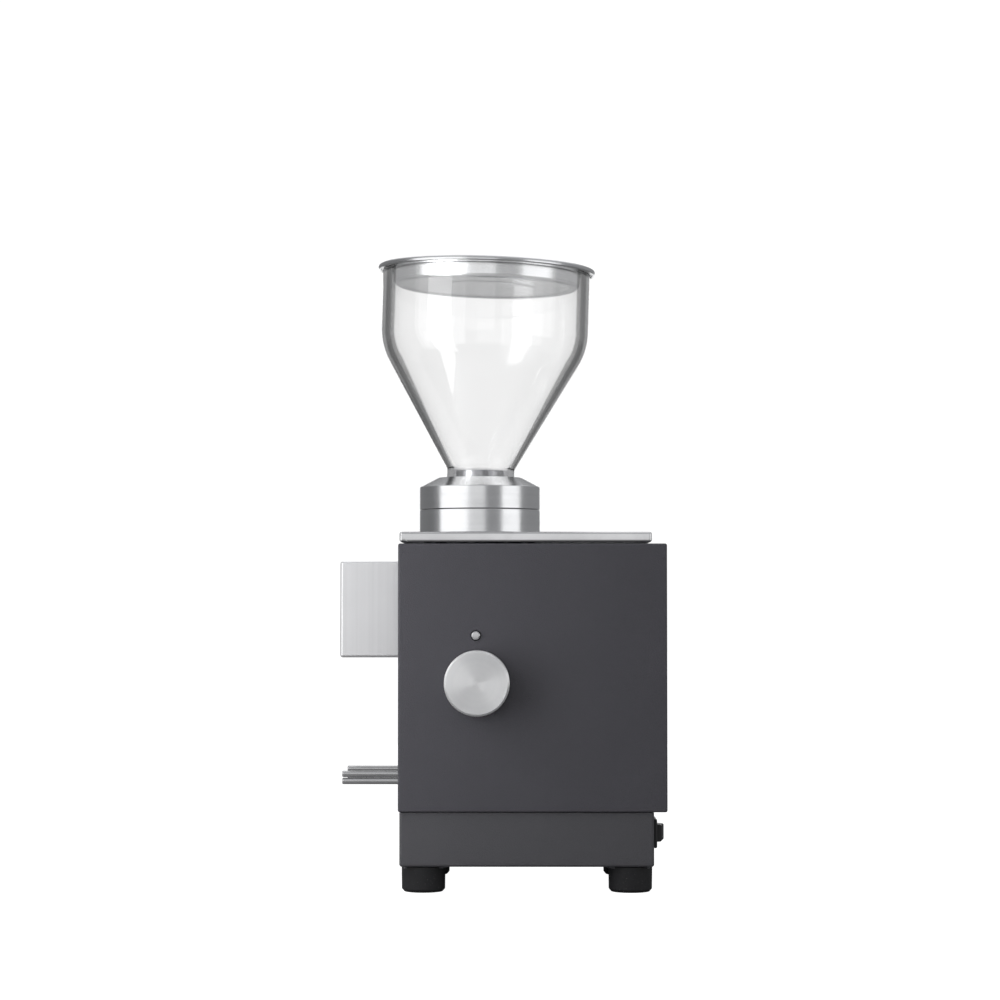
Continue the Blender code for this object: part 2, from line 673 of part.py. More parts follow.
def fork(frame):
    """Two stacked rods on each side, clamped in a bracket behind the front panel."""
    back = FRONT_X + CROSS_PANEL + GAP
    start_x, end_x = FRONT_X - FORK_REACH, back + FORK_BRACKET_DEPTH - FORK_BRACKET_WALL
    for side, sign in (("left", -1), ("right", 1)):
        for level, rod_z in zip(("lower", "upper"), fork_heights()):
            ends = ((start_x, sign * FORK_HALF_SPAN, rod_z), (end_x, sign * FORK_HALF_SPAN, rod_z))
            mesh = rods(FORK_RADIUS, [ends])
            new_object(f"fork_rod_{side}_{level}", mesh, "polished_steel", frame, smooth=True)
    middle_z = sum(fork_heights()) / 2
    half_width = FORK_HALF_SPAN + FORK_BRACKET_MARGIN
    corners = (
        (back, -half_width, middle_z - FORK_BRACKET_HEIGHT / 2),
        (back + FORK_BRACKET_DEPTH, half_width, middle_z + FORK_BRACKET_HEIGHT / 2),
    )
    bracket = new_object("fork_bracket", boxed(corners), "cast_aluminium", frame)
    combine(bracket, boxed(*fork_slots(back - CUT_PAST, end_x + GAP)), "DIFFERENCE", frame)


def outlet_outside():
    """Half width, lowest and highest level of the outlet's outside."""
    low = CAVITY_BOTTOM + OUTLET_ABOVE_FLOOR
    return OUTLET_WIDTH / 2 + OUTLET_WALL, low - OUTLET_WALL, low + OUTLET_HEIGHT + OUTLET_WALL


def chamber_screw_points():
    """Where the chamber's screws stand, around the burr axis."""
    return around(CHAMBER_SCREWS, (CHAMBER_NECK + CHAMBER_RADIUS) / 2, 45)


def grinding_chamber(frame):
    """The cast chamber around the burrs, with its neck and the outlet to the spout."""
    outline = [
        (BEARING_RADIUS + GAP, CHAMBER_BOTTOM),
        (CHAMBER_RADIUS, CHAMBER_BOTTOM),
        (CHAMBER_RADIUS, CHAMBER_SHOULDER),
        (CHAMBER_NECK, CHAMBER_SHOULDER),
        (CHAMBER_NECK, TRAY_TOP),
        (CHAMBER_BORE, TRAY_TOP),
        (CHAMBER_BORE, CAVITY_TOP),
        (CAVITY_RADIUS, CAVITY_TOP),
        (CAVITY_RADIUS, CAVITY_BOTTOM),
        (BEARING_RADIUS + GAP, CAVITY_BOTTOM),
    ]
    place = (AXIS_X, 0, 0)
    chamber = new_object("grinding_chamber", turned(outline), "cast_aluminium", frame, place, smooth=True)
    half_width, low_z, high_z = outlet_outside()
    inner_x = -math.sqrt(CAVITY_RADIUS**2 - half_width**2) - CHAMBER_WALL / 2
    tip_x = FRONT_X - OUTLET_PROUD - AXIS_X
    outside = boxed(((tip_x, -half_width, low_z), (inner_x, half_width, high_z)))
    combine(chamber, outside, "UNION", frame, (AXIS_X, 0, 0))
    passage = boxed(
        (
            (tip_x - CUT_PAST, -OUTLET_WIDTH / 2, low_z + OUTLET_WALL),
            (-CAVITY_RADIUS * 0.7, OUTLET_WIDTH / 2, high_z - OUTLET_WALL),
        )
    )
    combine(chamber, passage, "DIFFERENCE", frame, (AXIS_X, 0, 0))
    holes = [
        ((p.x, p.y, CHAMBER_SHOULDER - CHAMBER_SCREW_DEPTH - GAP), (p.x, p.y, CHAMBER_SHOULDER + CUT_PAST))
        for p in chamber_screw_points()
    ]
    combine(chamber, rods(CHAMBER_SCREW_RADIUS + GAP, holes), "DIFFERENCE", frame, (AXIS_X, 0, 0))


def chamber_screws(frame):
    """The screws that hang the chamber from the top plate."""
    head_bottom = PLATE_TOP + GAP
    outline = [
        (0, CHAMBER_SHOULDER - CHAMBER_SCREW_DEPTH),
        (CHAMBER_SCREW_RADIUS, CHAMBER_SHOULDER - CHAMBER_SCREW_DEPTH),
        (CHAMBER_SCREW_RADIUS, head_bottom),
        (CHAMBER_SCREW_HEAD, head_bottom),
        (CHAMBER_SCREW_HEAD, head_bottom + CHAMBER_SCREW_HEAD_HEIGHT),
        (0, head_bottom + CHAMBER_SCREW_HEAD_HEIGHT),
    ]
    for n, point in enumerate(chamber_screw_points(), 1):
        place = (AXIS_X + point.x, point.y, 0)
        new_object(f"chamber_screw_{n}", turned(outline, 12), "zinc_steel", frame, place, smooth=True)


def collars(frame):
    """The fixed collar on the tray, and the grind ring that turns on it."""
    place = (AXIS_X, 0, 0)
    fixed = [
        (CHAMBER_BORE, COLLAR_BOTTOM),
        (COLLAR_RADIUS, COLLAR_BOTTOM),
        (COLLAR_RADIUS, COLLAR_TOP - RING_EDGE),
        (COLLAR_RADIUS - RING_EDGE, COLLAR_TOP),
        (CHAMBER_BORE, COLLAR_TOP),
    ]
    new_object("lower_collar", turned(fixed), "aluminium", frame, place, smooth=True)
    ring = [
        (THROAT_RADIUS + GAP, SKIRT_BOTTOM),
        (SKIRT_RADIUS, SKIRT_BOTTOM),
        (SKIRT_RADIUS, RING_BOTTOM),
        (COLLAR_RADIUS - RING_EDGE, RING_BOTTOM),
        (COLLAR_RADIUS, RING_BOTTOM + RING_EDGE),
        (COLLAR_RADIUS, RING_TOP - RING_EDGE),
        (COLLAR_RADIUS - RING_EDGE, RING_TOP),
        (RING_BORE + SHOULDER_FLAT, SHOULDER_TOP),
        (RING_BORE, SHOULDER_TOP),
        (RING_BORE, SEAT_Z),
        (THROAT_RADIUS + GAP, SEAT_Z),
    ]
    new_object("grind_ring", turned(ring), "aluminium", frame, place, smooth=True)


def burr_carrier(frame):
    """The threaded carrier that the grind ring raises and lowers."""
    outline = [
        (THROAT_RADIUS + GAP, CARRIER_BOTTOM),
        (CARRIER_RADIUS, CARRIER_BOTTOM),
        (CARRIER_RADIUS, CARRIER_TOP),
        (CARRIER_BORE, CARRIER_TOP),
        (CARRIER_BORE, CARRIER_FLOOR),
        (THROAT_RADIUS + GAP, CARRIER_FLOOR),
    ]
    mesh = turned(outline)
    new_object("burr_carrier", mesh, "zinc_steel", frame, (AXIS_X, 0, 0), smooth=True)


def burrs(frame):
    """The two flat burrs, with grinding faces that meet across a small gap."""
    rim = BURR_RADIUS - BURR_RIM
    inner = max(BURR_BORE, THROAT_RADIUS)
    faces = {
        "upper_burr": (UPPER_BURR_TOP, UPPER_BURR_BOTTOM, 1, inner),
        "lower_burr": (LOWER_BURR_BOTTOM, LOWER_BURR_TOP, -1, BURR_BORE),
    }
    for name, (back, face, away, bore) in faces.items():
        outline = [
            (bore, back),
            (bore, face + away * BURR_DISH),
            (rim, face + away * GAP),
            (BURR_RADIUS, face),
            (BURR_RADIUS, back),
        ]
        place = (AXIS_X, 0, 0)
        burr = new_object(name, turned(outline), "tool_steel", frame, place, smooth=True)
        slots = bmesh.new()
        past = SHEET
        shift = Matrix.Translation(((rim + BURR_RADIUS) / 2, 0, face + away * (BURR_SLOT_DEPTH - past) / 2))
        size = Matrix.Diagonal((BURR_SLOT_LENGTH, BURR_SLOT_WIDTH, BURR_SLOT_DEPTH + past, 1))
        lean = Matrix.Rotation(away * BURR_SLOT_LEAN, 4, "Z")
        for point in around(BURR_SLOTS, 1.0):
            around_axis = Matrix.Rotation(math.atan2(point.y, point.x), 4, "Z")
            bmesh.ops.create_cube(slots, size=1.0, matrix=around_axis @ shift @ lean @ size)
        combine(burr, slots, "DIFFERENCE", frame, place)


def drive_disc(frame):
    """The disc under the lower burr, with the sweepers that push the grounds out, and its nut."""
    place = (AXIS_X, 0, 0)
    outline = [
        (BEARING_BORE, DISC_BOTTOM - DISC_HUB_DEPTH),
        (DISC_HUB_RADIUS, DISC_BOTTOM - DISC_HUB_DEPTH),
        (DISC_HUB_RADIUS, DISC_BOTTOM),
        (BURR_RADIUS, DISC_BOTTOM),
        (BURR_RADIUS, DISC_TOP),
        (BEARING_BORE, DISC_TOP),
    ]
    disc = new_object("drive_disc", turned(outline, 36), "zinc_steel", frame, place, smooth=True)
    for point in around(SWEEPERS, 1.0, 15):
        sweep = boxed(
            (
                (BURR_RADIUS - SWEEPER_WIDTH, -SWEEPER_WIDTH / 2, DISC_BOTTOM + SWEEPER_INSET),
                (CAVITY_RADIUS - SWEEPER_ROOM, SWEEPER_WIDTH / 2, DISC_TOP - SWEEPER_INSET),
            )
        )
        combine(disc, sweep, "UNION", frame, place, (0, 0, math.atan2(point.y, point.x)))
    low_z, high_z = DISC_TOP + GAP, DISC_TOP + NUT_HEIGHT
    hexagon = rods(NUT_RADIUS, [((0, 0, low_z), (0, 0, high_z))], 6)
    nut = new_object("burr_nut", hexagon, "zinc_steel", frame, place)
    bore = rods(BEARING_BORE, [((0, 0, low_z - CUT_PAST), (0, 0, high_z + CUT_PAST))], SEGMENTS)
    combine(nut, bore, "DIFFERENCE", frame, place)


def motor(frame):
    """The vertical motor: shaft, rotor, stator, end bells, bearings and fan, on the burr axis."""
    place = (AXIS_X, 0, 0)
    shaft = rods(SHAFT_RADIUS, [((0, 0, SHAFT_BOTTOM), (0, 0, SHAFT_TOP))])
    new_object("motor_shaft", shaft, "tool_steel", frame, place, smooth=True)
    rotor = ring_outline(BEARING_BORE, ROTOR_RADIUS, STATOR_BOTTOM + ROTOR_ROOM, STATOR_TOP - ROTOR_ROOM)
    new_object("motor_rotor", turned(rotor, 32), "tool_steel", frame, place, smooth=True)
    stator = ring_outline(ROTOR_RADIUS + AIR_GAP, MOTOR_RADIUS, STATOR_BOTTOM, STATOR_TOP)
    new_object("motor_stator", turned(stator, 32), "copper_winding", frame, place, smooth=True)
    bell_bore = BEARING_RADIUS + GAP
    upper = [
        (bell_bore, UPPER_BELL_TOP),
        (bell_bore, UPPER_BELL_TOP - BELL_WALL),
        (MOTOR_RADIUS - BELL_WALL, UPPER_BELL_TOP - BELL_WALL),
        (MOTOR_RADIUS - BELL_WALL, UPPER_BELL_BOTTOM),
        (MOTOR_RADIUS, UPPER_BELL_BOTTOM),
        (MOTOR_RADIUS, UPPER_BELL_TOP),
    ]
    new_object("motor_bell_upper", turned(upper, 32), "cast_aluminium", frame, place, smooth=True)
    lower = [
        (bell_bore, LOWER_BELL_BOTTOM),
        (LOWER_BELL_RADIUS, LOWER_BELL_BOTTOM),
        (LOWER_BELL_RADIUS, LOWER_BELL_TOP),
        (bell_bore, LOWER_BELL_TOP),
    ]
    new_object("motor_bell_lower", turned(lower, 32), "cast_aluminium", frame, place, smooth=True)
    bearings = {
        "bearing_lower": LOWER_BELL_TOP - BEARING_HEIGHT,
        "bearing_upper": CAVITY_BOTTOM - BEARING_HEIGHT,
    }
    for name, low_z in bearings.items():
        ring = ring_outline(BEARING_BORE, BEARING_RADIUS, low_z, low_z + BEARING_HEIGHT)
        new_object(name, turned(ring, 24), "tool_steel", frame, place, smooth=True)


def ring_outline(inner, outer, low_z, high_z):
    """The outline of a plain ring."""
    return [(inner, low_z), (outer, low_z), (outer, high_z), (inner, high_z)]


def cooling_fan(frame):
    """The fan on the shaft, inside the upper end bell."""
    place = (AXIS_X, 0, 0)
    top = UPPER_BELL_TOP - BELL_WALL - FAN_BELOW_BELL
    hub = ring_outline(BEARING_BORE, FAN_HUB_RADIUS, top - FAN_HEIGHT, top)
    fan = new_object("cooling_fan", turned(hub, 24), "black_plastic", frame, place, smooth=True)
    for point in around(FAN_BLADES, 1.0):
        low = (FAN_HUB_RADIUS - FAN_BLADE, -FAN_BLADE / 2, top - FAN_HEIGHT + FAN_BLADE_INSET)
        blade = boxed((low, (FAN_RADIUS, FAN_BLADE / 2, top - FAN_BLADE_INSET)))
        combine(fan, blade, "UNION", frame, place, (0, 0, math.atan2(point.y, point.x)))


def hopper_heights():
    """Levels of the neck's top, the bend and the rim, before the hopper leans."""
    neck_top = SHOULDER_TOP + HOPPER_NECK_RISE
    bend = neck_top + (HOPPER_RADIUS - NECK_RADIUS) / math.tan(math.radians(HOPPER_CONE_DEG))
    return neck_top, bend, bend + HOPPER_CYLINDER


def bent_wall(radius, corner_z, bend_radius):
    """Points that round the hopper's wall between its cone and its cylinder, from below."""
    tangent = bend_radius * math.tan(math.radians(HOPPER_CONE_DEG) / 2)
    return rounded((radius - bend_radius, corner_z + tangent), bend_radius, -HOPPER_CONE_DEG, 0)


def add_leaning(name, outline, finish, frame):
    """A turned piece of the hopper, which leans back by the slack in its seat."""
    lowered = [(radius, height - LEAN_Z) for radius, height in outline]
    turn = (0, math.radians(HOPPER_LEAN_DEG), 0)
    new_object(name, turned(lowered), finish, frame, (AXIS_X, 0, LEAN_Z), turn, smooth=True)


def hopper(frame):
    """The clear thick-walled hopper, open at both ends, and the seal round its neck."""
    neck_top, bend, rim = hopper_heights()
    step = HOPPER_WALL * math.tan(math.radians(HOPPER_CONE_DEG) / 2)
    inner_radius = HOPPER_RADIUS - HOPPER_WALL
    outline = [
        (THROAT_RADIUS, SEAT_Z + HOPPER_SLACK),
        (NECK_RADIUS, SEAT_Z + HOPPER_SLACK),
        (NECK_RADIUS, neck_top),
        *bent_wall(HOPPER_RADIUS, bend, HOPPER_BEND),
        (HOPPER_RADIUS, rim),
        (inner_radius, rim),
        *bent_wall(inner_radius, bend + step, HOPPER_BEND - HOPPER_WALL)[::-1],
        (THROAT_RADIUS, neck_top + step),
    ]
    add_leaning("hopper", outline, "clear_plastic", frame)
    low_z = LEAN_Z - SEAL_HEIGHT / 2
    seal = ring_outline(NECK_RADIUS + GAP / 3, RING_BORE - GAP / 3, low_z, low_z + SEAL_HEIGHT)
    add_leaning("hopper_seal", seal, "rubber", frame)


def hopper_lid(frame):
    """The spun lid, with a rolled flange on the rim and a skirt inside the hopper."""
    rim = hopper_heights()[2] + GAP
    flange = HOPPER_RADIUS + LID_FLANGE_OVER
    skirt = HOPPER_RADIUS - HOPPER_WALL - LID_SKIRT_GAP
    top = rim + LID_SHEET
    outline = [
        (0, rim - LID_SKIRT_DEPTH + LID_SHEET),
        (skirt - LID_SHEET, rim - LID_SKIRT_DEPTH + LID_SHEET),
        (skirt - LID_SHEET, top),
        (flange, top),
        (flange, rim - LID_RIM),
        (flange - LID_SHEET, rim - LID_RIM),
        (flange - LID_SHEET, rim),
        (skirt, rim),
        (skirt, rim - LID_SKIRT_DEPTH),
        (0, rim - LID_SKIRT_DEPTH),
    ]
    add_leaning("hopper_lid", outline, "aluminium", frame)


def dose_knob(frame):
    """The dose knob on its shaft, the timer behind the panel and the index stud above."""
    face_turn = (math.pi / 2, 0, 0)
    place = (KNOB_X, -HALF_WIDTH, KNOB_Z)
    back, face = KNOB_STANDOFF, KNOB_STANDOFF + KNOB_LENGTH
    bore = KNOB_SHAFT_RADIUS + GAP
    outline = [
        (0, back + KNOB_HOLLOW),
        (bore, back + KNOB_HOLLOW),
        (bore, back),
        (KNOB_RADIUS, back),
        (KNOB_RADIUS, face - KNOB_EDGE),
        (KNOB_RADIUS - KNOB_EDGE, face),
        (0, face),
    ]
    new_object("dose_knob", turned(outline), "aluminium", frame, place, face_turn, smooth=True)
    shaft_ends = ((0, 0, -PANEL - KNOB_SHAFT_PAST_PANEL), (0, 0, back + KNOB_HOLLOW - GAP))
    shaft = rods(KNOB_SHAFT_RADIUS, [shaft_ends])
    new_object("knob_shaft", shaft, "zinc_steel", frame, place, face_turn, smooth=True)
    depth = PANEL_INNER - GAP - MOTOR_RADIUS - TIMER_TO_MOTOR
    low = (KNOB_X - TIMER_HALF_SIDE, -PANEL_INNER + GAP, KNOB_Z - TIMER_HALF_SIDE)
    high = (KNOB_X + TIMER_HALF_SIDE, -PANEL_INNER + GAP + depth, KNOB_Z + TIMER_HALF_SIDE)
    timer = new_object("timer_module", boxed((low, high)), "white_plastic", frame)
    pocket = ((KNOB_X, -HALF_WIDTH, KNOB_Z), (KNOB_X, -PANEL_INNER + KNOB_SHAFT_PAST_PANEL + GAP, KNOB_Z))
    combine(timer, rods(KNOB_SHAFT_RADIUS + GAP, [pocket]), "DIFFERENCE", frame)
    stud_place = (STUD_X, -HALF_WIDTH, KNOB_Z + STUD_ABOVE_KNOB)
    ring = ring_outline(STUD_RADIUS + GAP / 2, STUD_RING_RADIUS, -PANEL, STUD_RING_PROUD)
    new_object("index_ring", turned(ring, 24), "black_plastic", frame, stud_place, face_turn, smooth=True)
    stud = [
        (0, -PANEL),
        (STUD_RADIUS, -PANEL),
        (STUD_RADIUS, STUD_PROUD * 0.4),
        (STUD_RADIUS * 0.8, STUD_PROUD * 0.8),
        (STUD_RADIUS * 0.4, STUD_PROUD),
        (0, STUD_PROUD),
    ]
    new_object("index_stud", turned(stud, 24), "polished_steel", frame, stud_place, face_turn, smooth=True)


def switch_centre():
    """Where the switch sits on the base's rear wall."""
    return -BASE_HALF_WIDTH + SWITCH_SIDE_INSET, BASE_TOP - SWITCH_BELOW_DECK


def inlet_centre():
    """Where the power inlet sits on the base's rear wall."""
    return BASE_HALF_WIDTH - INLET_SIDE_INSET, BASE_BOTTOM + BASE_HEIGHT / 2


def switch(frame):
    """The power switch: a housing snapped into the wall and a paddle that rocks sideways in it."""
    centre_y, centre_z = switch_centre()
    place = (REAR_X, centre_y, centre_z)
    body_y = SWITCH_WIDTH / 2 - SWITCH_LEDGE - GAP
    body_z = SWITCH_HEIGHT / 2 - SWITCH_LEDGE - GAP
    bezel_y, bezel_z = SWITCH_WIDTH / 2, SWITCH_HEIGHT / 2
    bezel = boxed(((GAP, -bezel_y, -bezel_z), (GAP + SWITCH_BEZEL, bezel_y, bezel_z)))
    housing = new_object("switch_housing", bezel, "black_plastic", frame, place)
    body = boxed(((-SWITCH_DEPTH, -body_y, -body_z), (GAP + SWITCH_BEZEL / 2, body_y, body_z)))
    combine(housing, body, "UNION", frame, place)
    well_y, well_z = PADDLE_WIDTH / 2 + PADDLE_SIDE_ROOM, PADDLE_HEIGHT / 2 + PADDLE_END_ROOM
    well = boxed(((-SWITCH_WELL, -well_y, -well_z), (SWITCH_BEZEL + CUT_PAST, well_y, well_z)))
    combine(housing, well, "DIFFERENCE", frame, place)
    half_y, half_z = PADDLE_WIDTH / 2, PADDLE_HEIGHT / 2
    face_x = SWITCH_BEZEL + GAP + PADDLE_PROUD
    paddle = bmesh.new()
    outline = [
        (-0.0050, -0.0030),
        (-0.0010, -half_y),
        (face_x, -half_y + PADDLE_NOSE),
        (face_x - PADDLE_NOSE, 0),
        (face_x, half_y - PADDLE_NOSE),
        (-0.0010, half_y),
        (-0.0050, 0.0030),
    ]
    face = paddle.faces.new([paddle.verts.new((x, y, -half_z)) for x, y in outline])
    grown = bmesh.ops.extrude_face_region(paddle, geom=[face])
    for vert in (v for v in grown["geom"] if isinstance(v, bmesh.types.BMVert)):
        vert.co.z = half_z
    bmesh.ops.recalc_face_normals(paddle, faces=paddle.faces)
    turn = (0, 0, -math.radians(PADDLE_ROCK_DEG))
    rocker = new_object("switch_rocker", paddle, "black_plastic", frame, place, turn)
    round_edges(rocker, PADDLE_EDGE, 1)


def power_inlet(frame):
    """The three-pin inlet, with an open socket that a lead plugs into."""
    centre_y, centre_z = inlet_centre()
    place = (REAR_X, centre_y, centre_z)
    flange_y, flange_z = INLET_WIDTH / 2, INLET_HEIGHT / 2
    flange = boxed(((GAP, -flange_y, -flange_z), (GAP + INLET_FLANGE, flange_y, flange_z)))
    inlet = new_object("power_inlet", flange, "black_plastic", frame, place)
    body_y = INLET_WIDTH / 2 - INLET_LEDGE - GAP
    body_z = INLET_HEIGHT / 2 - INLET_LEDGE - GAP
    body = boxed(((-INLET_DEPTH, -body_y, -body_z), (GAP + INLET_FLANGE / 2, body_y, body_z)))
    combine(inlet, body, "UNION", frame, place)
    floor_x = GAP + INLET_FLANGE - SOCKET_DEPTH
    socket_y, socket_z = SOCKET_WIDTH / 2, SOCKET_HEIGHT / 2
    socket = boxed(((floor_x, -socket_y, -socket_z), (INLET_FLANGE + CUT_PAST, socket_y, socket_z)))
    combine(inlet, socket, "DIFFERENCE", frame, place)
    pins = bmesh.new()
    for n in range(SOCKET_PINS):
        pin_y = (n - (SOCKET_PINS - 1) / 2) * PIN_PITCH
        pin_z = PIN_RISE if n == SOCKET_PINS // 2 else PIN_DROP
        low = (floor_x - PIN_WIDTH / 2, pin_y - PIN_WIDTH / 2, pin_z - PIN_HEIGHT / 2)
        add_box(pins, low, (floor_x + PIN_LENGTH, pin_y + PIN_WIDTH / 2, pin_z + PIN_HEIGHT / 2))
    combine(inlet, pins, "UNION", frame, place)


def control_board(frame):
    """The board with its parts, on stand-offs from the rear panel."""
    wall = REAR_X - CROSS_PANEL - GAP
    low_y = -PANEL_INNER + BOARD_MARGIN
    low_z = PANEL_BOTTOM + BOARD_ABOVE_BASE
    high_y, high_z = low_y + BOARD_WIDTH, low_z + BOARD_HEIGHT
    front = wall - BOARD_STANDOFF
    mesh = boxed(((front - BOARD, low_y, low_z), (front, high_y, high_z)))
    board = new_object("control_board", mesh, "circuit_board", frame)
    posts = [
        ((front - BOARD / 2, y, z), (wall, y, z))
        for y in (low_y + BOARD_POST_INSET, high_y - BOARD_POST_INSET)
        for z in (low_z + BOARD_POST_INSET, high_z - BOARD_POST_INSET)
    ]
    combine(board, rods(BOARD_POST_RADIUS, posts, 12), "UNION", frame)
    parts = bmesh.new()
    for n, proud in enumerate(BOARD_PART_HEIGHTS):
        part_y = (low_y + high_y - BOARD_PART) / 2 + (n - 0.5) * BOARD_PART_PITCH
        part_z = low_z + 2 * BOARD_POST_INSET
        low = (front - proud, part_y, part_z)
        add_box(parts, low, (front - BOARD / 2, part_y + BOARD_PART, part_z + BOARD_PART))
    combine(board, parts, "UNION", frame)


def run_capacitor(frame):
    """The capacitor that stands on the deck in the rear corner."""
    low_z, high_z = BASE_TOP + GAP, BASE_TOP + CAPACITOR_HEIGHT
    outline = [
        (0, low_z),
        (CAPACITOR_RADIUS, low_z),
        (CAPACITOR_RADIUS, high_z - CAPACITOR_EDGE),
        (CAPACITOR_RADIUS - CAPACITOR_EDGE, high_z),
        (0, high_z),
    ]
    inset = CAPACITOR_RADIUS + CAPACITOR_MARGIN
    place = (REAR_X - CROSS_PANEL - inset, PANEL_INNER - inset, 0)
    new_object("run_capacitor", turned(outline, 28), "white_plastic", frame, place, smooth=True)


def motor_lead(frame):
    """The lead from the control board to the motor's windings."""
    board_x = REAR_X - CROSS_PANEL - GAP - BOARD_STANDOFF - BOARD - GAP
    board_y = -PANEL_INNER + BOARD_MARGIN + BOARD_WIDTH - LEAD_EDGE_INSET
    board_z = PANEL_BOTTOM + BOARD_ABOVE_BASE + BOARD_HEIGHT / 2
    start = Vector((board_x, board_y, board_z))
    end = Vector((AXIS_X + MOTOR_RADIUS + GAP, 0, board_z))
    points = []
    for n in range(LEAD_STEPS + 1):
        share = n / LEAD_STEPS
        ease = share * share * (3 - 2 * share)
        sag = -LEAD_SAG * math.sin(math.pi * share) ** 2
        points.append((start.x + (end.x - start.x) * share, start.y + (end.y - start.y) * ease, start.z + sag))
    data = bpy.data.curves.new("motor_lead", "CURVE")
    data.dimensions = "3D"
    data.bevel_depth = LEAD_RADIUS
    data.bevel_resolution = 2
    data.use_fill_caps = True
    spline = data.splines.new("POLY")
    spline.points.add(len(points) - 1)
    for spot, point in zip(spline.points, points):
        spot.co = (*point, 1)
    lead = bpy.data.objects.new("motor_lead", data)
    bpy.context.scene.collection.objects.link(lead)
    lead.parent = frame
    data.materials.append(new_material("motor_lead", *FINISHES["black_plastic"]))


def main():
    """Build the whole grinder."""
    clear_scene()
    frame = add_frame()
    pieces = (
        feet,
        base_shell,
        bottom_plate,
        side_panels,
        front_panel,
        rear_panel,
        top_plate,
        top_tray,
        chute,
        fork,
        grinding_chamber,
        chamber_screws,
        collars,
        burr_carrier,
        burrs,
        drive_disc,
        motor,
        cooling_fan,
        hopper,
        hopper_lid,
        dose_knob,
        switch,
        power_inlet,
        control_board,
        run_capacitor,
        motor_lead,
    )
    for piece in pieces:
        piece(frame)
    bpy.context.view_layer.update()


main()
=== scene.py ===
"""Burr coffee grinder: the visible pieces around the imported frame, with their finishes and the studio.

Metres, +Z up. The spout and the fork face -X, the dose knob faces -Y. Every piece ends with its object at the
origin and its place in its mesh, and rides on the body that carries it.
"""

import json
import math

import bpy
from mathutils import Matrix, Vector

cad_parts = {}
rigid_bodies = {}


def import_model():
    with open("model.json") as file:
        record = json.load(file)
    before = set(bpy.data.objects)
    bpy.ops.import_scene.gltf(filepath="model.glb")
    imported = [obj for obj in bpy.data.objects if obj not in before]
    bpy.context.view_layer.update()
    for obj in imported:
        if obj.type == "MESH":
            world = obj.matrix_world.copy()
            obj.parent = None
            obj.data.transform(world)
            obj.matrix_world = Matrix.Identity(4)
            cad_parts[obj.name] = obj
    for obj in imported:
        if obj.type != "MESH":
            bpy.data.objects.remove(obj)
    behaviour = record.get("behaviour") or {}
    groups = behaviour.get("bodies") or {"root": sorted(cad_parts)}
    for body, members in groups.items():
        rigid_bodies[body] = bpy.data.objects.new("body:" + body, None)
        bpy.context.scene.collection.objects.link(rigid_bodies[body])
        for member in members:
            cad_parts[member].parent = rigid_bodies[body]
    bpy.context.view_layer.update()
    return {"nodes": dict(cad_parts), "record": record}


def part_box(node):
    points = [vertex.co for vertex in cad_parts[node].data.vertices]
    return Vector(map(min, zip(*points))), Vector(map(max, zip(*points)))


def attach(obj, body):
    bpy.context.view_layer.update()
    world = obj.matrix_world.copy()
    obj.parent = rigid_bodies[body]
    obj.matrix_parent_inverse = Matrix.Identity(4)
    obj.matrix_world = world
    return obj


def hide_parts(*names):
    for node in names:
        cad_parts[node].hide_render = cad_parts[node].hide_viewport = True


bl_info = {
    "name": "Burr Coffee Grinder",
    "version": (1, 0, 0),
    "blender": (4, 5, 0),
    "location": "3D Viewport > Sidebar > Grinder",
    "description": (
        "Models the visible pieces of a burr coffee grinder around its frame, with finishes and a studio"
    ),
    "category": "Add Mesh",
}

for leftover in list(bpy.data.objects):
    bpy.data.objects.remove(leftover, do_unlink=True)
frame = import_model()


def middle(node):
    """The middle of a node's box."""
    low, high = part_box(node)
    return (low + high) / 2


def record_axis(joint_name):
    """The axis of a joint, as the record gives it."""
    for joint in frame["record"]["behaviour"]["joints"]:
        if joint["name"] == joint_name:
            return Vector(joint["axis"])
    raise RuntimeError(f"the record has no joint named {joint_name}")


# Where the frame puts things
PANEL_LOW, PANEL_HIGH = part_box("side_panel_left")
FAR_PANEL_LOW, FAR_PANEL_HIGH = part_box("side_panel_right")
FRONT_LOW, FRONT_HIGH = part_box("front_panel")
REAR_LOW, REAR_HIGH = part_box("rear_panel")
BASE_LOW, BASE_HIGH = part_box("base_shell")
PLATE_LOW, PLATE_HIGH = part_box("bottom_plate")
TRAY_LOW, TRAY_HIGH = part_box("top_tray")
COLLAR_LOW, COLLAR_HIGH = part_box("lower_collar")
RING_LOW, RING_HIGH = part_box("grind_ring")
CHUTE_LOW, CHUTE_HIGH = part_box("chute")
KNOB_LOW, KNOB_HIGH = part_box("dose_knob")
BEZEL_LOW, BEZEL_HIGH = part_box("switch_housing")
INLET_LOW, INLET_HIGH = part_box("power_inlet")
BURR_AXIS = middle("lower_collar")
KNOB_AXIS = middle("dose_knob")
STUD_AXIS = middle("index_stud")
LEAN_AXIS = record_axis("lid_lift")
LEAN_POINT = middle("hopper_seal")
LEAN_TURN = (0, math.atan2(LEAN_AXIS.x, LEAN_AXIS.z), 0)
FACE_LEFT = (math.pi / 2, 0, 0)
FACE_REAR = (0, math.pi / 2, 0)
FEET = ("front_left", "front_right", "rear_left", "rear_right")
RODS = ("left_lower", "left_upper", "right_lower", "right_upper")

# Small distances shared by several pieces
GAP = 0.0003
PAST = 0.004
HAIR = 0.00001


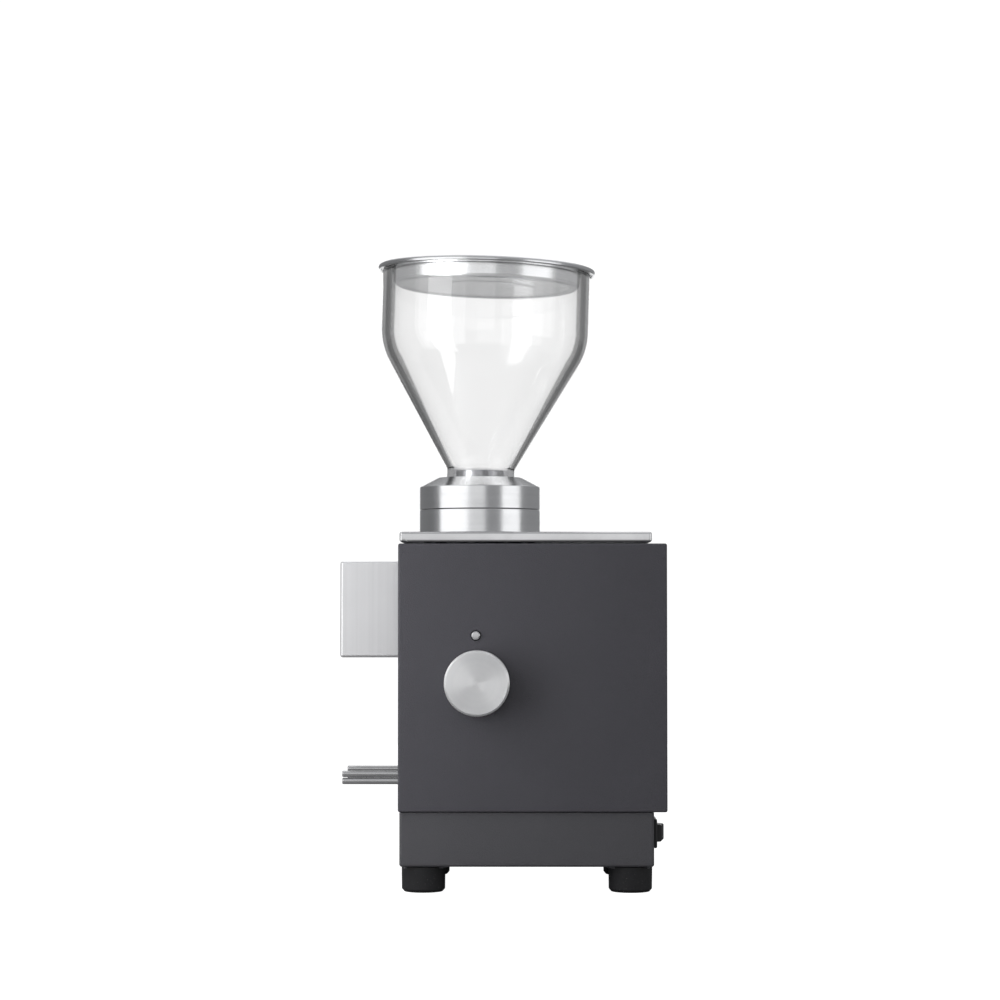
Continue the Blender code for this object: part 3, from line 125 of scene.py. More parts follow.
class GrinderSizes(bpy.types.PropertyGroup):
    """Sizes of the visible detail."""

    panel_edge: bpy.props.FloatProperty(
        name="Panel edge", description="Rounding of the side panels' edges", default=0.0011, unit="LENGTH"
    )
    base_edge: bpy.props.FloatProperty(
        name="Base edge", description="Rounding of the base's folded edges", default=0.0015, unit="LENGTH"
    )
    sheet: bpy.props.FloatProperty(
        name="Sheet", description="Thickness of the folded sheet metal", default=0.0015, unit="LENGTH"
    )
    tray_edge: bpy.props.FloatProperty(
        name="Tray edge", description="Rounding of the top tray's edges", default=0.0014, unit="LENGTH"
    )
    ring_edge: bpy.props.FloatProperty(
        name="Ring edge", description="Rounding of the turned rings' edges", default=0.00035, unit="LENGTH"
    )
    knob_edge: bpy.props.FloatProperty(
        name="Knob edge", description="Width of the knob's chamfer", default=0.0010, unit="LENGTH"
    )
    foot_radius: bpy.props.FloatProperty(
        name="Foot radius", description="Radius of a rubber foot", default=0.0125, unit="LENGTH"
    )
    pad_radius: bpy.props.FloatProperty(
        name="Pad radius", description="Radius of the pressed pad above a foot", default=0.0157, unit="LENGTH"
    )
    pad_slope: bpy.props.FloatProperty(
        name="Pad slope", description="How far the pad's edge slopes in", default=0.0021, unit="LENGTH"
    )
    hopper_radius: bpy.props.FloatProperty(
        name="Hopper radius", description="Outside radius of the hopper's cylinder",
        default=0.0612, unit="LENGTH"
    )
    hopper_wall: bpy.props.FloatProperty(
        name="Hopper wall", description="Thickness of the hopper's wall", default=0.0050, unit="LENGTH"
    )
    neck_radius: bpy.props.FloatProperty(
        name="Neck radius", description="Outside radius of the hopper's neck", default=0.0199, unit="LENGTH"
    )
    hopper_cone: bpy.props.FloatProperty(
        name="Hopper cone", description="Angle of the cone from upright", default=math.radians(30),
        subtype="ANGLE"
    )
    hopper_bend: bpy.props.FloatProperty(
        name="Hopper bend", description="Bend radius between the cone and the cylinder",
        default=0.040, unit="LENGTH"
    )
    hopper_cylinder: bpy.props.FloatProperty(
        name="Hopper cylinder", description="Height from the bend to the rim", default=0.0457, unit="LENGTH"
    )
    lid_overhang: bpy.props.FloatProperty(
        name="Lid overhang", description="How far the lid's flange passes the hopper",
        default=0.0028, unit="LENGTH"
    )


class GrinderFinishes(bpy.types.PropertyGroup):
    """Colours of the finishes."""

    powder: bpy.props.FloatVectorProperty(
        name="Powder coat", description="Colour of the painted panels",
        subtype="COLOR", default=(0.050, 0.0485, 0.058)
    )
    powder_light: bpy.props.FloatVectorProperty(
        name="Base coat", description="Colour of the painted base",
        subtype="COLOR", default=(0.058, 0.0572, 0.064)
    )
    rubber: bpy.props.FloatVectorProperty(
        name="Rubber", description="Colour of the feet and the seal",
        subtype="COLOR", default=(0.0065, 0.0065, 0.008)
    )
    steel: bpy.props.FloatVectorProperty(
        name="Steel", description="Colour of the stainless steel", subtype="COLOR", default=(0.80, 0.80, 0.81)
    )
    aluminium: bpy.props.FloatVectorProperty(
        name="Aluminium", description="Colour of the turned aluminium",
        subtype="COLOR", default=(0.80, 0.805, 0.815)
    )
    plastic: bpy.props.FloatVectorProperty(
        name="Black plastic", description="Colour of the moulded pieces",
        subtype="COLOR", default=(0.010, 0.010, 0.011)
    )


def sizes():
    """The sizes that the scene holds."""
    return bpy.context.scene.grinder_sizes


def finishes():
    """The colours that the scene holds."""
    return bpy.context.scene.grinder_finishes


# ---------------------------------------------------------------------------------------------- modelling


def fresh():
    """Leave edit mode and select nothing."""
    if bpy.context.object and bpy.context.object.mode != "OBJECT":
        bpy.ops.object.mode_set(mode="OBJECT")
    bpy.ops.object.select_all(action="DESELECT")


def only(piece):
    """Select one piece and make it the active one."""
    fresh()
    piece.select_set(True)
    bpy.context.view_layer.objects.active = piece
    return piece


def settle(piece):
    """Put a piece's place, turn and scale into its mesh."""
    only(piece)
    bpy.ops.object.transform_apply(location=True, rotation=True, scale=True)
    return piece


def lay(piece, at, turn=(0, 0, 0)):
    """Turn a piece made at the origin, carry it to its place and settle it."""
    piece.rotation_euler = turn
    piece.location = at
    return settle(piece)


def smooth(piece, degrees=32):
    """Shade a piece smooth, with its sharp edges kept."""
    only(piece)
    bpy.ops.object.shade_smooth_by_angle(angle=math.radians(degrees))
    return finish_with(piece, "WEIGHTED_NORMAL", keep_sharp=True)


def finish_with(piece, kind, **settings):
    """Add a modifier to a piece and apply it."""
    only(piece)
    modifier = piece.modifiers.new(kind.title(), kind)
    for key, value in settings.items():
        setattr(modifier, key, value)
    bpy.ops.object.modifier_apply(modifier=modifier.name)
    return piece


def bevel(piece, width, segments=3, degrees=35):
    """Round a piece's sharp edges."""
    return finish_with(
        piece, "BEVEL", width=width, segments=segments,
        limit_method="ANGLE", angle_limit=math.radians(degrees)
    )


def combine(piece, tool, operation="DIFFERENCE"):
    """Cut a tool from a piece, or join it on, and remove the tool."""
    finish_with(piece, "BOOLEAN", operation=operation, solver="EXACT", object=tool)
    bpy.data.objects.remove(tool, do_unlink=True)
    return piece


def copied(piece, name):
    """A copy of a piece with its own mesh."""
    only(piece)
    bpy.ops.object.duplicate(linked=False)
    twin = bpy.context.object
    twin.name = name
    return twin


def joined(name, pieces):
    """Several pieces made one."""
    fresh()
    for piece in pieces:
        piece.select_set(True)
    bpy.context.view_layer.objects.active = pieces[0]
    bpy.ops.object.join()
    pieces[0].name = name
    return pieces[0]


def block(name, low, high, rounding=0.0, segments=3):
    """A box between two corners, with rounded edges."""
    low, high = Vector(low), Vector(high)
    fresh()
    bpy.ops.mesh.primitive_cube_add(size=1, location=(low + high) / 2, scale=high - low)
    piece = settle(bpy.context.object)
    piece.name = name
    if rounding:
        bevel(piece, rounding, segments)
    return piece


def softened(corners, closed, steps):
    """The points of an outline whose corners are (x, y) or (x, y, rounding)."""
    points = []
    count = len(corners)
    for n, corner in enumerate(corners):
        here = Vector(corner[:2])
        rounding = corner[2] if len(corner) > 2 else 0
        if not rounding or (not closed and n in (0, count - 1)):
            points.append(here)
            continue
        back = (Vector(corners[n - 1][:2]) - here).normalized()
        ahead = (Vector(corners[(n + 1) % count][:2]) - here).normalized()
        half = back.angle(ahead) / 2
        centre = here + (back + ahead).normalized() * rounding / math.sin(half)
        start = here + back * rounding / math.tan(half) - centre
        end = here + ahead * rounding / math.tan(half) - centre
        sweep = start.angle_signed(end)
        for step in range(steps + 1):
            spoke = start.copy()
            spoke.rotate(Matrix.Rotation(-sweep * step / steps, 2))
            points.append(centre + spoke)
    return points


def outline_piece(name, points, across):
    """A chain of edges through points, drawn from one vertex; across maps a point to space."""
    fresh()
    bpy.ops.mesh.primitive_plane_add(size=GAP)
    piece = bpy.context.object
    piece.name = name
    bpy.ops.object.mode_set(mode="EDIT")
    bpy.ops.mesh.select_mode(type="VERT")
    bpy.ops.mesh.select_all(action="SELECT")
    bpy.ops.mesh.merge(type="CENTER")
    spots = [Vector(across(point)) for point in points]
    bpy.ops.transform.translate(value=spots[0])
    for before, after in zip(spots, spots[1:]):
        bpy.ops.mesh.extrude_region_move(TRANSFORM_OT_translate={"value": after - before})
    bpy.ops.mesh.select_all(action="SELECT")
    return piece


def turned(name, corners, at=(0, 0, 0), turn=(0, 0, 0), turns=96, steps=4, degrees=32):
    """An outline of (radius, height) corners spun about Z; it is a ring unless it starts on the axis."""
    ring = corners[0][0] > 0
    points = softened(corners, ring, steps)
    if ring:
        points.append(points[0])
    piece = outline_piece(name, points, lambda point: (point.x, 0, point.y))
    bpy.ops.mesh.spin(steps=turns, angle=math.tau, center=(0, 0, 0), axis=(0, 0, 1))
    bpy.ops.mesh.select_all(action="SELECT")
    bpy.ops.mesh.remove_doubles(threshold=HAIR / 2)
    bpy.ops.mesh.normals_make_consistent(inside=False)
    bpy.ops.object.mode_set(mode="OBJECT")
    lay(piece, at, turn)
    return smooth(piece, degrees)


def prism(name, corners, low, high, at=(0, 0, 0), turn=(0, 0, 0), steps=5):
    """A flat outline of (x, y) corners raised from one level to another."""
    points = softened(corners, True, steps)
    piece = outline_piece(name, points, lambda point: (point.x, point.y, low))
    bpy.ops.mesh.edge_face_add()
    bpy.ops.mesh.extrude_region_move(TRANSFORM_OT_translate={"value": (0, 0, high - low)})
    bpy.ops.mesh.select_all(action="SELECT")
    bpy.ops.mesh.normals_make_consistent(inside=False)
    bpy.ops.object.mode_set(mode="OBJECT")
    return lay(piece, at, turn)


def rectangle(width, height, rounding=0.0):
    """Corners of a rectangle about the origin."""
    x, y = width / 2, height / 2
    return [(-x, -y, rounding), (x, -y, rounding), (x, y, rounding), (-x, y, rounding)]


def polygon(count, radius):
    """Corners of a regular polygon about the origin."""
    return [
        (radius * math.cos(math.tau * n / count), radius * math.sin(math.tau * n / count))
        for n in range(count)
    ]


def round_tool(radius, low, high, at, turn=(0, 0, 0), turns=64):
    """A plain cylinder that cuts a hole."""
    return prism("hole_tool", polygon(turns, radius), low, high, at, turn)


def socket_screw(name, radius, height, at, turn):
    """A button-head screw with a hexagon socket, its head's seat at the given point."""
    head = [
        (0, 0), (radius, 0), (radius, height * 0.35, height * 0.2),
        (radius * 0.62, height, height * 0.4), (0, height),
    ]
    screw = turned(name, head, turns=40, steps=4)
    socket = prism("socket_tool", polygon(6, radius * 0.48), height * 0.35, height + PAST)
    combine(screw, socket)
    return smooth(lay(screw, at, turn))


def placed(piece, body, finish, slot, *nodes):
    """Give a piece its finish, its body and the nodes that it stands for."""
    piece.data.materials.clear()
    piece.data.materials.append(finish)
    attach(piece, body)
    if nodes:
        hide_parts(*nodes)
    return piece


# ---------------------------------------------------------------------------------------------- finishes


def add_node(tree, kind, settings=None, **inputs):
    """A node with its settings, and inputs that are numbers, colours or other nodes' outputs."""
    made = tree.nodes.new(kind)
    for key, value in (settings or {}).items():
        setattr(made, key, value)
    for key, value in inputs.items():
        wire(tree, made.inputs[key.replace("_", " ")], value)
    return made


def wire(tree, socket, value):
    """Set a socket, or link it to another node's output."""
    if isinstance(value, bpy.types.NodeSocket):
        tree.links.new(value, socket)
    else:
        socket.default_value = value


def calculate(tree, operation, *values, clamp=False):
    """A Math node's output."""
    made = tree.nodes.new("ShaderNodeMath")
    made.operation = operation
    made.use_clamp = clamp
    for socket, value in zip(made.inputs, values):
        wire(tree, socket, value)
    return made.outputs[0]


def blend_colours(tree, share, first, second):
    """A Mix node's colour output."""
    made = tree.nodes.new("ShaderNodeMix")
    made.data_type = "RGBA"
    wire(tree, made.inputs[0], share)
    wire(tree, made.inputs[6], (*first, 1) if isinstance(first, (tuple, list)) else first)
    wire(tree, made.inputs[7], (*second, 1) if isinstance(second, (tuple, list)) else second)
    return made.outputs[2]


def remap(tree, value, low, high, new_low, new_high):
    """A value carried from one range to another."""
    made = add_node(
        tree, "ShaderNodeMapRange", Value=value, From_Min=low, From_Max=high, To_Min=new_low, To_Max=new_high
    )
    return made.outputs[0]


def ramp(tree, value, *stops):
    """A colour ramp through (position, grey) stops."""
    made = add_node(tree, "ShaderNodeValToRGB", Fac=value)
    band = made.color_ramp
    while len(band.elements) < len(stops):
        band.elements.new(1.0)
    for element, (position, grey) in zip(band.elements, stops):
        element.position = position
        element.color = (grey, grey, grey, 1)
    return made.outputs[0]


def plainly_seen(tree):
    """One for what the camera sees directly or through clear plastic, less after a reflection."""
    path = tree.nodes.new("ShaderNodeLightPath")
    bounced = calculate(tree, "ADD", path.outputs["Glossy Depth"], path.outputs["Diffuse Depth"])
    straight = remap(tree, bounced, 0.0, 1.7, 1.0, 0.0)
    through = calculate(tree, "MULTIPLY", path.outputs["Is Transmission Ray"], straight)
    return calculate(tree, "MAXIMUM", path.outputs["Is Camera Ray"], through)


def new_group(name, inputs, outputs):
    """An empty node group with named sockets."""
    group = bpy.data.node_groups.new(name, "ShaderNodeTree")
    for label, kind, default in inputs:
        socket = group.interface.new_socket(name=label, in_out="INPUT", socket_type=f"NodeSocket{kind}")
        if default is not None:
            socket.default_value = default
    for label, kind in outputs:
        group.interface.new_socket(name=label, in_out="OUTPUT", socket_type=f"NodeSocket{kind}")
    return group, group.nodes.new("NodeGroupInput"), group.nodes.new("NodeGroupOutput")


def grain_group():
    """Fine texture with slow colour and gloss variation: paint, rubber, castings and mouldings."""
    group, given, result = new_group(
        "Surface Grain",
        [
            ("Vector", "Vector", None), ("Scale", "Float", 2000.0),
            ("Detail", "Float", 3.0), ("Drift", "Float", 30.0),
        ],
        [("Height", "Float"), ("Drift", "Float"), ("Speck", "Float")],
    )
    fine = add_node(
        group, "ShaderNodeTexNoise", Vector=given.outputs["Vector"], Scale=given.outputs["Scale"],
        Detail=given.outputs["Detail"], Roughness=0.55,
    )
    slow = add_node(
        group, "ShaderNodeTexNoise", Vector=given.outputs["Vector"], Scale=given.outputs["Drift"], Detail=3.0
    )
    cells = add_node(
        group, "ShaderNodeTexVoronoi", Vector=given.outputs["Vector"], Scale=given.outputs["Scale"]
    )
    height = calculate(group, "ADD", fine.outputs["Fac"], cells.outputs["Distance"])
    wire(group, result.inputs["Height"], height)
    wire(group, result.inputs["Drift"], slow.outputs["Fac"])
    wire(group, result.inputs["Speck"], remap(group, fine.outputs["Fac"], 0.62, 0.80, 0.0, 1.0))
    return group


def groove_group():
    """Tool marks of a lathe: fine rings around the Z axis of the vector it is given."""
    group, given, result = new_group(
        "Turned Grooves",
        [("Vector", "Vector", None), ("Scale", "Float", 4000.0)],
        [("Height", "Float"), ("Band", "Float")],
    )
    parts = add_node(group, "ShaderNodeSeparateXYZ", Vector=given.outputs["Vector"])
    radius = calculate(
        group, "SQRT",
        calculate(
            group, "ADD",
            calculate(group, "MULTIPLY", parts.outputs[0], parts.outputs[0]),
            calculate(group, "MULTIPLY", parts.outputs[1], parts.outputs[1]),
        ),
    )
    where = add_node(group, "ShaderNodeCombineXYZ", X=radius, Y=parts.outputs[2])
    fine = add_node(
        group, "ShaderNodeTexNoise", Vector=where.outputs[0],
        Scale=given.outputs["Scale"], Detail=2.0, Roughness=0.6
    )
    broad = add_node(group, "ShaderNodeTexNoise", Vector=where.outputs[0], Scale=400.0, Detail=1.0)
    wire(group, result.inputs["Height"], fine.outputs["Fac"])
    wire(group, result.inputs["Band"], broad.outputs["Fac"])
    return group


def brush_group():
    """Long straight brush marks along the Z axis of the vector it is given."""
    group, given, result = new_group(
        "Brush Marks",
        [("Vector", "Vector", None), ("Scale", "Float", 3000.0)],
        [("Height", "Float"), ("Streak", "Float")],
    )
    stretch = add_node(group, "ShaderNodeMapping", Vector=given.outputs["Vector"], Scale=(1.0, 1.0, 0.012))
    fine = add_node(
        group, "ShaderNodeTexNoise", Vector=stretch.outputs[0], Scale=given.outputs["Scale"], Detail=3.0
    )
    streak = add_node(group, "ShaderNodeTexNoise", Vector=stretch.outputs[0], Scale=450.0, Detail=2.0)
    wire(group, result.inputs["Height"], fine.outputs["Fac"])
    wire(group, result.inputs["Streak"], streak.outputs["Fac"])
    return group


def handling_group():
    """Dust and the soft smudges of hands, as a mask from 0 to 1."""
    group, given, result = new_group(
        "Handling Marks",
        [("Vector", "Vector", None), ("Size", "Float", 60.0)],
        [("Smudge", "Float"), ("Dust", "Float")],
    )
    cloud = add_node(
        group, "ShaderNodeTexNoise", Vector=given.outputs["Vector"], Scale=given.outputs["Size"], Detail=4.0,
        Distortion=0.6,
    )
    specks = add_node(group, "ShaderNodeTexNoise", Vector=given.outputs["Vector"], Scale=1400.0, Detail=1.0)
    wire(group, result.inputs["Smudge"], remap(group, cloud.outputs["Fac"], 0.40, 0.70, 0.0, 1.0))
    wire(group, result.inputs["Dust"], remap(group, specks.outputs["Fac"], 0.70, 0.80, 0.0, 1.0))
    return group


def edge_highlight_group():
    """A mask of sharp edges, for a painted highlight: the colour of paint and machined metal is made lighter
    there.
    """
    group, given, result = new_group("Painted Edge Highlight", [("Radius", "Float", 0.0006)], [("Edge", "Float")])
    geometry = group.nodes.new("ShaderNodeNewGeometry")
    rounded = add_node(group, "ShaderNodeBevel", {"samples": 4}, Radius=given.outputs["Radius"])
    agree = add_node(group, "ShaderNodeVectorMath", {"operation": "DOT_PRODUCT"})
    wire(group, agree.inputs[0], geometry.outputs["Normal"])
    wire(group, agree.inputs[1], rounded.outputs[0])
    wire(group, result.inputs["Edge"], remap(group, agree.outputs["Value"], 0.995, 0.85, 0.0, 1.0))
    return group


def hopper_group():
    """A mask of the hopper's outside, by how far a point of it lies from the hopper's outside profile."""
    size = sizes()
    neck_top = hopper_levels()[0]
    group, given, result = new_group(
        "Hopper Outside", [("Vector", "Vector", None)], [("Outside", "Float"), ("Neck", "Float")]
    )
    parts = add_node(group, "ShaderNodeSeparateXYZ", Vector=given.outputs["Vector"])
    flat = add_node(group, "ShaderNodeCombineXYZ", X=parts.outputs[0], Y=parts.outputs[1])
    length = add_node(group, "ShaderNodeVectorMath", {"operation": "LENGTH"})
    wire(group, length.inputs[0], flat.outputs[0])
    radius = length.outputs["Value"]
    rise = calculate(group, "SUBTRACT", parts.outputs[2], neck_top)
    cone = calculate(group, "MULTIPLY_ADD", rise, math.tan(size.hopper_cone), size.neck_radius)
    profile = calculate(
        group, "MINIMUM", calculate(group, "MAXIMUM", cone, size.neck_radius), size.hopper_radius
    )
    inward = calculate(group, "SUBTRACT", profile, radius)
    wire(group, result.inputs["Outside"], calculate(group, "LESS_THAN", inward, size.hopper_wall * 0.4))
    wire(group, result.inputs["Neck"], remap(group, rise, -0.0005, 0.0005, 1.0, 0.0))
    return group


class Finish:
    """A material under construction: its tree, its shader and its pattern vector."""

    def __init__(self, name, base, roughness, metallic, centre=(0, 0, 0), turn=(0, 0, 0)):
        self.material = bpy.data.materials.new(name)
        self.material.use_nodes = True
        self.tree = self.material.node_tree
        self.shader = self.tree.nodes["Principled BSDF"]
        self.shader.inputs["Base Color"].default_value = (*base, 1)
        self.shader.inputs["Roughness"].default_value = roughness
        self.shader.inputs["Metallic"].default_value = metallic
        coordinates = self.tree.nodes.new("ShaderNodeTexCoord")
        place = add_node(
            self.tree, "ShaderNodeMapping", {"vector_type": "TEXTURE"},
            Vector=coordinates.outputs["Object"], Location=centre, Rotation=turn,
        )
        self.vector = place.outputs[0]

    def group(self, name, **inputs):
        """One of the shared effects, placed in this material with its own values."""
        made = self.tree.nodes.new("ShaderNodeGroup")
        made.node_tree = bpy.data.node_groups[name]
        if "Vector" in made.inputs:
            wire(self.tree, made.inputs["Vector"], self.vector)
        for key, value in inputs.items():
            wire(self.tree, made.inputs[key], value)
        return made.outputs

    def spin_gloss(self, axis, amount):
        """Stretch the gloss across tool marks that run round an axis."""
        self.shader.inputs["Anisotropic"].default_value = amount
        self.shader.inputs["Anisotropic Rotation"].default_value = 0.25
        around = add_node(self.tree, "ShaderNodeTangent", {"direction_type": "RADIAL", "axis": axis})
        wire(self.tree, self.shader.inputs["Tangent"], around.outputs[0])

    def bump(self, height, strength, distance):
        """Raise the surface by a height."""
        made = add_node(self.tree, "ShaderNodeBump", Height=height, Strength=strength, Distance=distance)
        wire(self.tree, self.shader.inputs["Normal"], made.outputs[0])

    def colour(self, share, first, second):
        """Blend the base colour between two."""
        wire(self.tree, self.shader.inputs["Base Color"], blend_colours(self.tree, share, first, second))

    def roughness(self, share, smoothest, roughest):
        """Vary the roughness between two values."""
        wire(self.tree, self.shader.inputs["Roughness"],
             remap(self.tree, share, 0.0, 1.0, smoothest, roughest))


def shade(colour, factor):
    """A colour made lighter or darker."""
    return tuple(min(part * factor, 1.0) for part in colour)


def powder_coat(name, colour):
    """Fine textured satin paint: orange peel, slow drift and a painted highlight that lightens its sharp
    edges.
    """
    made = Finish(name, colour, 0.5, 0.0)
    grain = made.group("Surface Grain", Scale=1500.0, Detail=2.0, Drift=22.0)
    edge = made.group("Painted Edge Highlight", Radius=0.0008)["Edge"]
    plain = blend_colours(made.tree, grain["Drift"], shade(colour, 0.93), shade(colour, 1.07))
    speckled = blend_colours(made.tree, calculate(made.tree, "MULTIPLY", grain["Speck"], 0.25),
                plain, shade(colour, 1.7))
    # painted highlight: the paint is made much lighter along sharp edges
    painted_highlight = calculate(made.tree, "MULTIPLY", edge, 0.6)
    painted = blend_colours(made.tree, painted_highlight, speckled, shade(colour, 2.4))
    wire(made.tree, made.shader.inputs["Base Color"], painted)
    made.roughness(grain["Drift"], 0.40, 0.52)
    made.bump(grain["Height"], 0.35, 0.0003)
    return made.material


def rubber(name, colour):
    """Matte moulded rubber with a little dust."""
    made = Finish(name, colour, 0.7, 0.0)
    grain = made.group("Surface Grain", Scale=2600.0, Detail=2.0, Drift=90.0)
    marks = made.group("Handling Marks", Size=140.0)
    made.colour(calculate(made.tree, "MULTIPLY", marks["Dust"], 0.5), colour, (0.16, 0.155, 0.15))
    made.roughness(grain["Drift"], 0.62, 0.82)
    made.bump(grain["Height"], 0.25, 0.0001)
    return made.material


def plastic(name, colour, roughness=0.38, scale=2200.0):
    """Satin moulded plastic."""
    made = Finish(name, colour, roughness, 0.0)
    grain = made.group("Surface Grain", Scale=scale, Detail=2.0, Drift=70.0)
    marks = made.group("Handling Marks", Size=90.0)
    made.colour(grain["Drift"], shade(colour, 0.85), shade(colour, 1.15))
    made.roughness(marks["Smudge"], roughness - 0.06, roughness + 0.10)
    made.bump(grain["Height"], 0.12, 0.0001)
    return made.material


def polished(name, colour, roughness):
    """Polished stainless steel with faint smudges and hairlines."""
    made = Finish(name, colour, roughness, 1.0, turn=(0, math.pi / 2, 0))
    marks = made.group("Handling Marks", Size=45.0)
    brush = made.group("Brush Marks", Scale=2600.0)
    made.colour(marks["Smudge"], colour, shade(colour, 0.93))
    made.roughness(marks["Smudge"], roughness, roughness + 0.06)
    made.bump(brush["Height"], 0.04, 0.00005)
    return made.material


def brushed(name, colour):
    """Stainless sheet brushed along its height."""
    made = Finish(name, colour, 0.36, 1.0)
    brush = made.group("Brush Marks", Scale=2800.0)
    marks = made.group("Handling Marks", Size=55.0)
    made.colour(brush["Streak"], shade(colour, 0.93), shade(colour, 1.06))
    made.roughness(marks["Smudge"], 0.36, 0.42)
    made.bump(brush["Height"], 0.10, 0.00005)
    return made.material


def turned_metal(
    name, colour, centre, turn=(0, 0, 0), low=0.16, high=0.24,
    groove=0.25, scale=5200.0, axis="Z", stretch=0.0,
):
    """Metal turned on a lathe, with its tool marks around the given axis and a painted highlight that
    lightens its sharp edges.
    """
    made = Finish(name, colour, low, 1.0, centre, turn)
    if stretch:
        made.spin_gloss(axis, stretch)
    grooves = made.group("Turned Grooves", Scale=scale)
    marks = made.group("Handling Marks", Size=70.0)
    edge = made.group("Painted Edge Highlight", Radius=0.0003)["Edge"]
    base = blend_colours(made.tree, grooves["Band"], shade(colour, 0.94), shade(colour, 1.05))
    # painted highlight: sharp edges are blended towards near white
    painted_edge_glint = blend_colours(made.tree, calculate(made.tree, "MULTIPLY", edge, 0.3), base, (0.95, 0.95, 0.95))
    wire(made.tree, made.shader.inputs["Base Color"], painted_edge_glint)
    made.roughness(marks["Smudge"], low, high)
    made.bump(grooves["Height"], groove, 0.00004)
    return made.material


def cast_metal(name, colour):
    """Die-cast metal with a grainy skin."""
    made = Finish(name, colour, 0.5, 1.0)
    grain = made.group("Surface Grain", Scale=900.0, Detail=4.0, Drift=60.0)
    made.colour(grain["Drift"], shade(colour, 0.82), shade(colour, 1.1))
    made.roughness(grain["Drift"], 0.42, 0.62)
    made.bump(grain["Height"], 0.4, 0.0003)
    return made.material


def plated(name, colour, low=0.26, high=0.42):
    """Zinc plate or ground steel, with cloudy gloss."""
    made = Finish(name, colour, low, 1.0)
    grain = made.group("Surface Grain", Scale=1800.0, Detail=3.0, Drift=120.0)
    made.colour(grain["Drift"], shade(colour, 0.88), shade(colour, 1.12))
    made.roughness(grain["Drift"], low, high)
    made.bump(grain["Height"], 0.12, 0.0001)
    return made.material


def windings(name):
    """Lacquered copper wire laid round the stator."""
    colour = (0.52, 0.20, 0.08)
    made = Finish(name, colour, 0.32, 1.0, (BURR_AXIS.x, BURR_AXIS.y, 0))
    grooves = made.group("Turned Grooves", Scale=900.0)
    made.colour(grooves["Band"], shade(colour, 0.55), shade(colour, 1.25))
    made.roughness(grooves["Height"], 0.22, 0.45)
    made.bump(grooves["Height"], 0.8, 0.0006)
    return made.material


def board_finish(name):
    """Solder mask with pale pads and traces."""
    made = Finish(name, (0.02, 0.14, 0.06), 0.35, 0.0)
    traces = add_node(
        made.tree, "ShaderNodeTexBrick", {"offset": 0.5}, Vector=made.vector, Scale=260.0,
        Color1=(0.02, 0.15, 0.06, 1), Color2=(0.015, 0.11, 0.05, 1), Mortar=(0.05, 0.26, 0.12, 1),
    )
    wire(made.tree, made.shader.inputs["Base Color"], traces.outputs["Color"])
    grain = made.group("Surface Grain", Scale=1500.0, Detail=2.0, Drift=120.0)
    made.roughness(grain["Drift"], 0.28, 0.45)
    made.bump(traces.outputs["Fac"], 0.3, 0.0001)
    return made.material


def clear_plastic(name):
    """Thick clear plastic with painted shade: its outside's colour darkens in bands where it is seen edge on,
    and its neck is painted darker.
    """
    made = Finish(name, (1, 1, 1), 0.02, 0.0, LEAN_POINT, LEAN_TURN)
    shader = made.shader
    shader.inputs["Transmission Weight"].default_value = 1.0
    shader.inputs["IOR"].default_value = 1.47
    form = made.group("Hopper Outside")
    # painted shade: the outside's colour follows how edge on it is seen, with dark bands standing for
    # refraction
    facing = add_node(made.tree, "ShaderNodeLayerWeight", Blend=0.5).outputs["Facing"]
    edge = ramp(
        made.tree, facing,
        (0.0, 0.912), (0.51, 0.90), (0.535, 0.24), (0.60, 0.20),
        (0.63, 0.10), (0.72, 0.08), (0.77, 0.55), (0.90, 0.85),
    )
    body = blend_colours(made.tree, form["Outside"], (1.0, 1.0, 1.0), edge)
    # painted shade: the neck's colour is darkened
    painted_shade_tint = blend_colours(made.tree, form["Neck"], body, (0.60, 0.60, 0.61))
    marks = made.group("Handling Marks", Size=40.0)
    cloudy = calculate(made.tree, "MULTIPLY", marks["Smudge"], 0.02)
    wire(made.tree, shader.inputs["Base Color"], blend_colours(made.tree, cloudy, painted_shade_tint, (0.80, 0.82, 0.82)))
    made.roughness(marks["Smudge"], 0.004, 0.012)
    return made.material


def build_finishes():
    """Make the shared effects and every finish, by name."""
    for build in (grain_group, groove_group, brush_group, handling_group, edge_highlight_group, hopper_group):
        build()
    tone = finishes()
    powder, light = tuple(tone.powder), tuple(tone.powder_light)
    steel, aluminium = tuple(tone.steel), tuple(tone.aluminium)
    dark, black = tuple(tone.rubber), tuple(tone.plastic)
    upright = (BURR_AXIS.x, BURR_AXIS.y, 0)
    powder_coat("panel_paint", powder)
    powder_coat("base_paint", light)
    rubber("foot_rubber", dark)
    plastic("black_moulding", black)
    plastic("white_moulding", (0.68, 0.68, 0.66), 0.42)
    plastic("cable_jacket", shade(black, 0.8), 0.5, 3000.0)
    polished("polished_sheet", shade(steel, 0.86), 0.12)
    polished("polished_rod", shade(steel, 0.72), 0.15)
    brushed("brushed_sheet", shade(steel, 1.12))
    turned_metal("turned_ring", shade(aluminium, 0.92), upright, low=0.19, high=0.25)
    turned_metal("spun_lid", shade(aluminium, 0.95), LEAN_POINT, LEAN_TURN, 0.18, 0.26, 0.3, 3600.0)
    turned_metal("spun_knob", shade(aluminium, 1.22), KNOB_AXIS, FACE_LEFT,
        0.36, 0.42, 0.3, 6000.0, "Y", 0.75)
    turned_metal("turned_shaft", (0.34, 0.34, 0.36), upright, (0, 0, 0), 0.22, 0.34, 0.3, 3000.0)
    cast_metal("cast_body", (0.50, 0.51, 0.52))
    plated("zinc_plate", (0.48, 0.49, 0.51))
    plated("ground_steel", (0.30, 0.30, 0.32), 0.18, 0.32)
    windings("copper_wire")
    board_finish("board_mask")
    clear_plastic("clear_wall")


def finish(name):
    """A finish that has been built."""
    return bpy.data.materials[name]


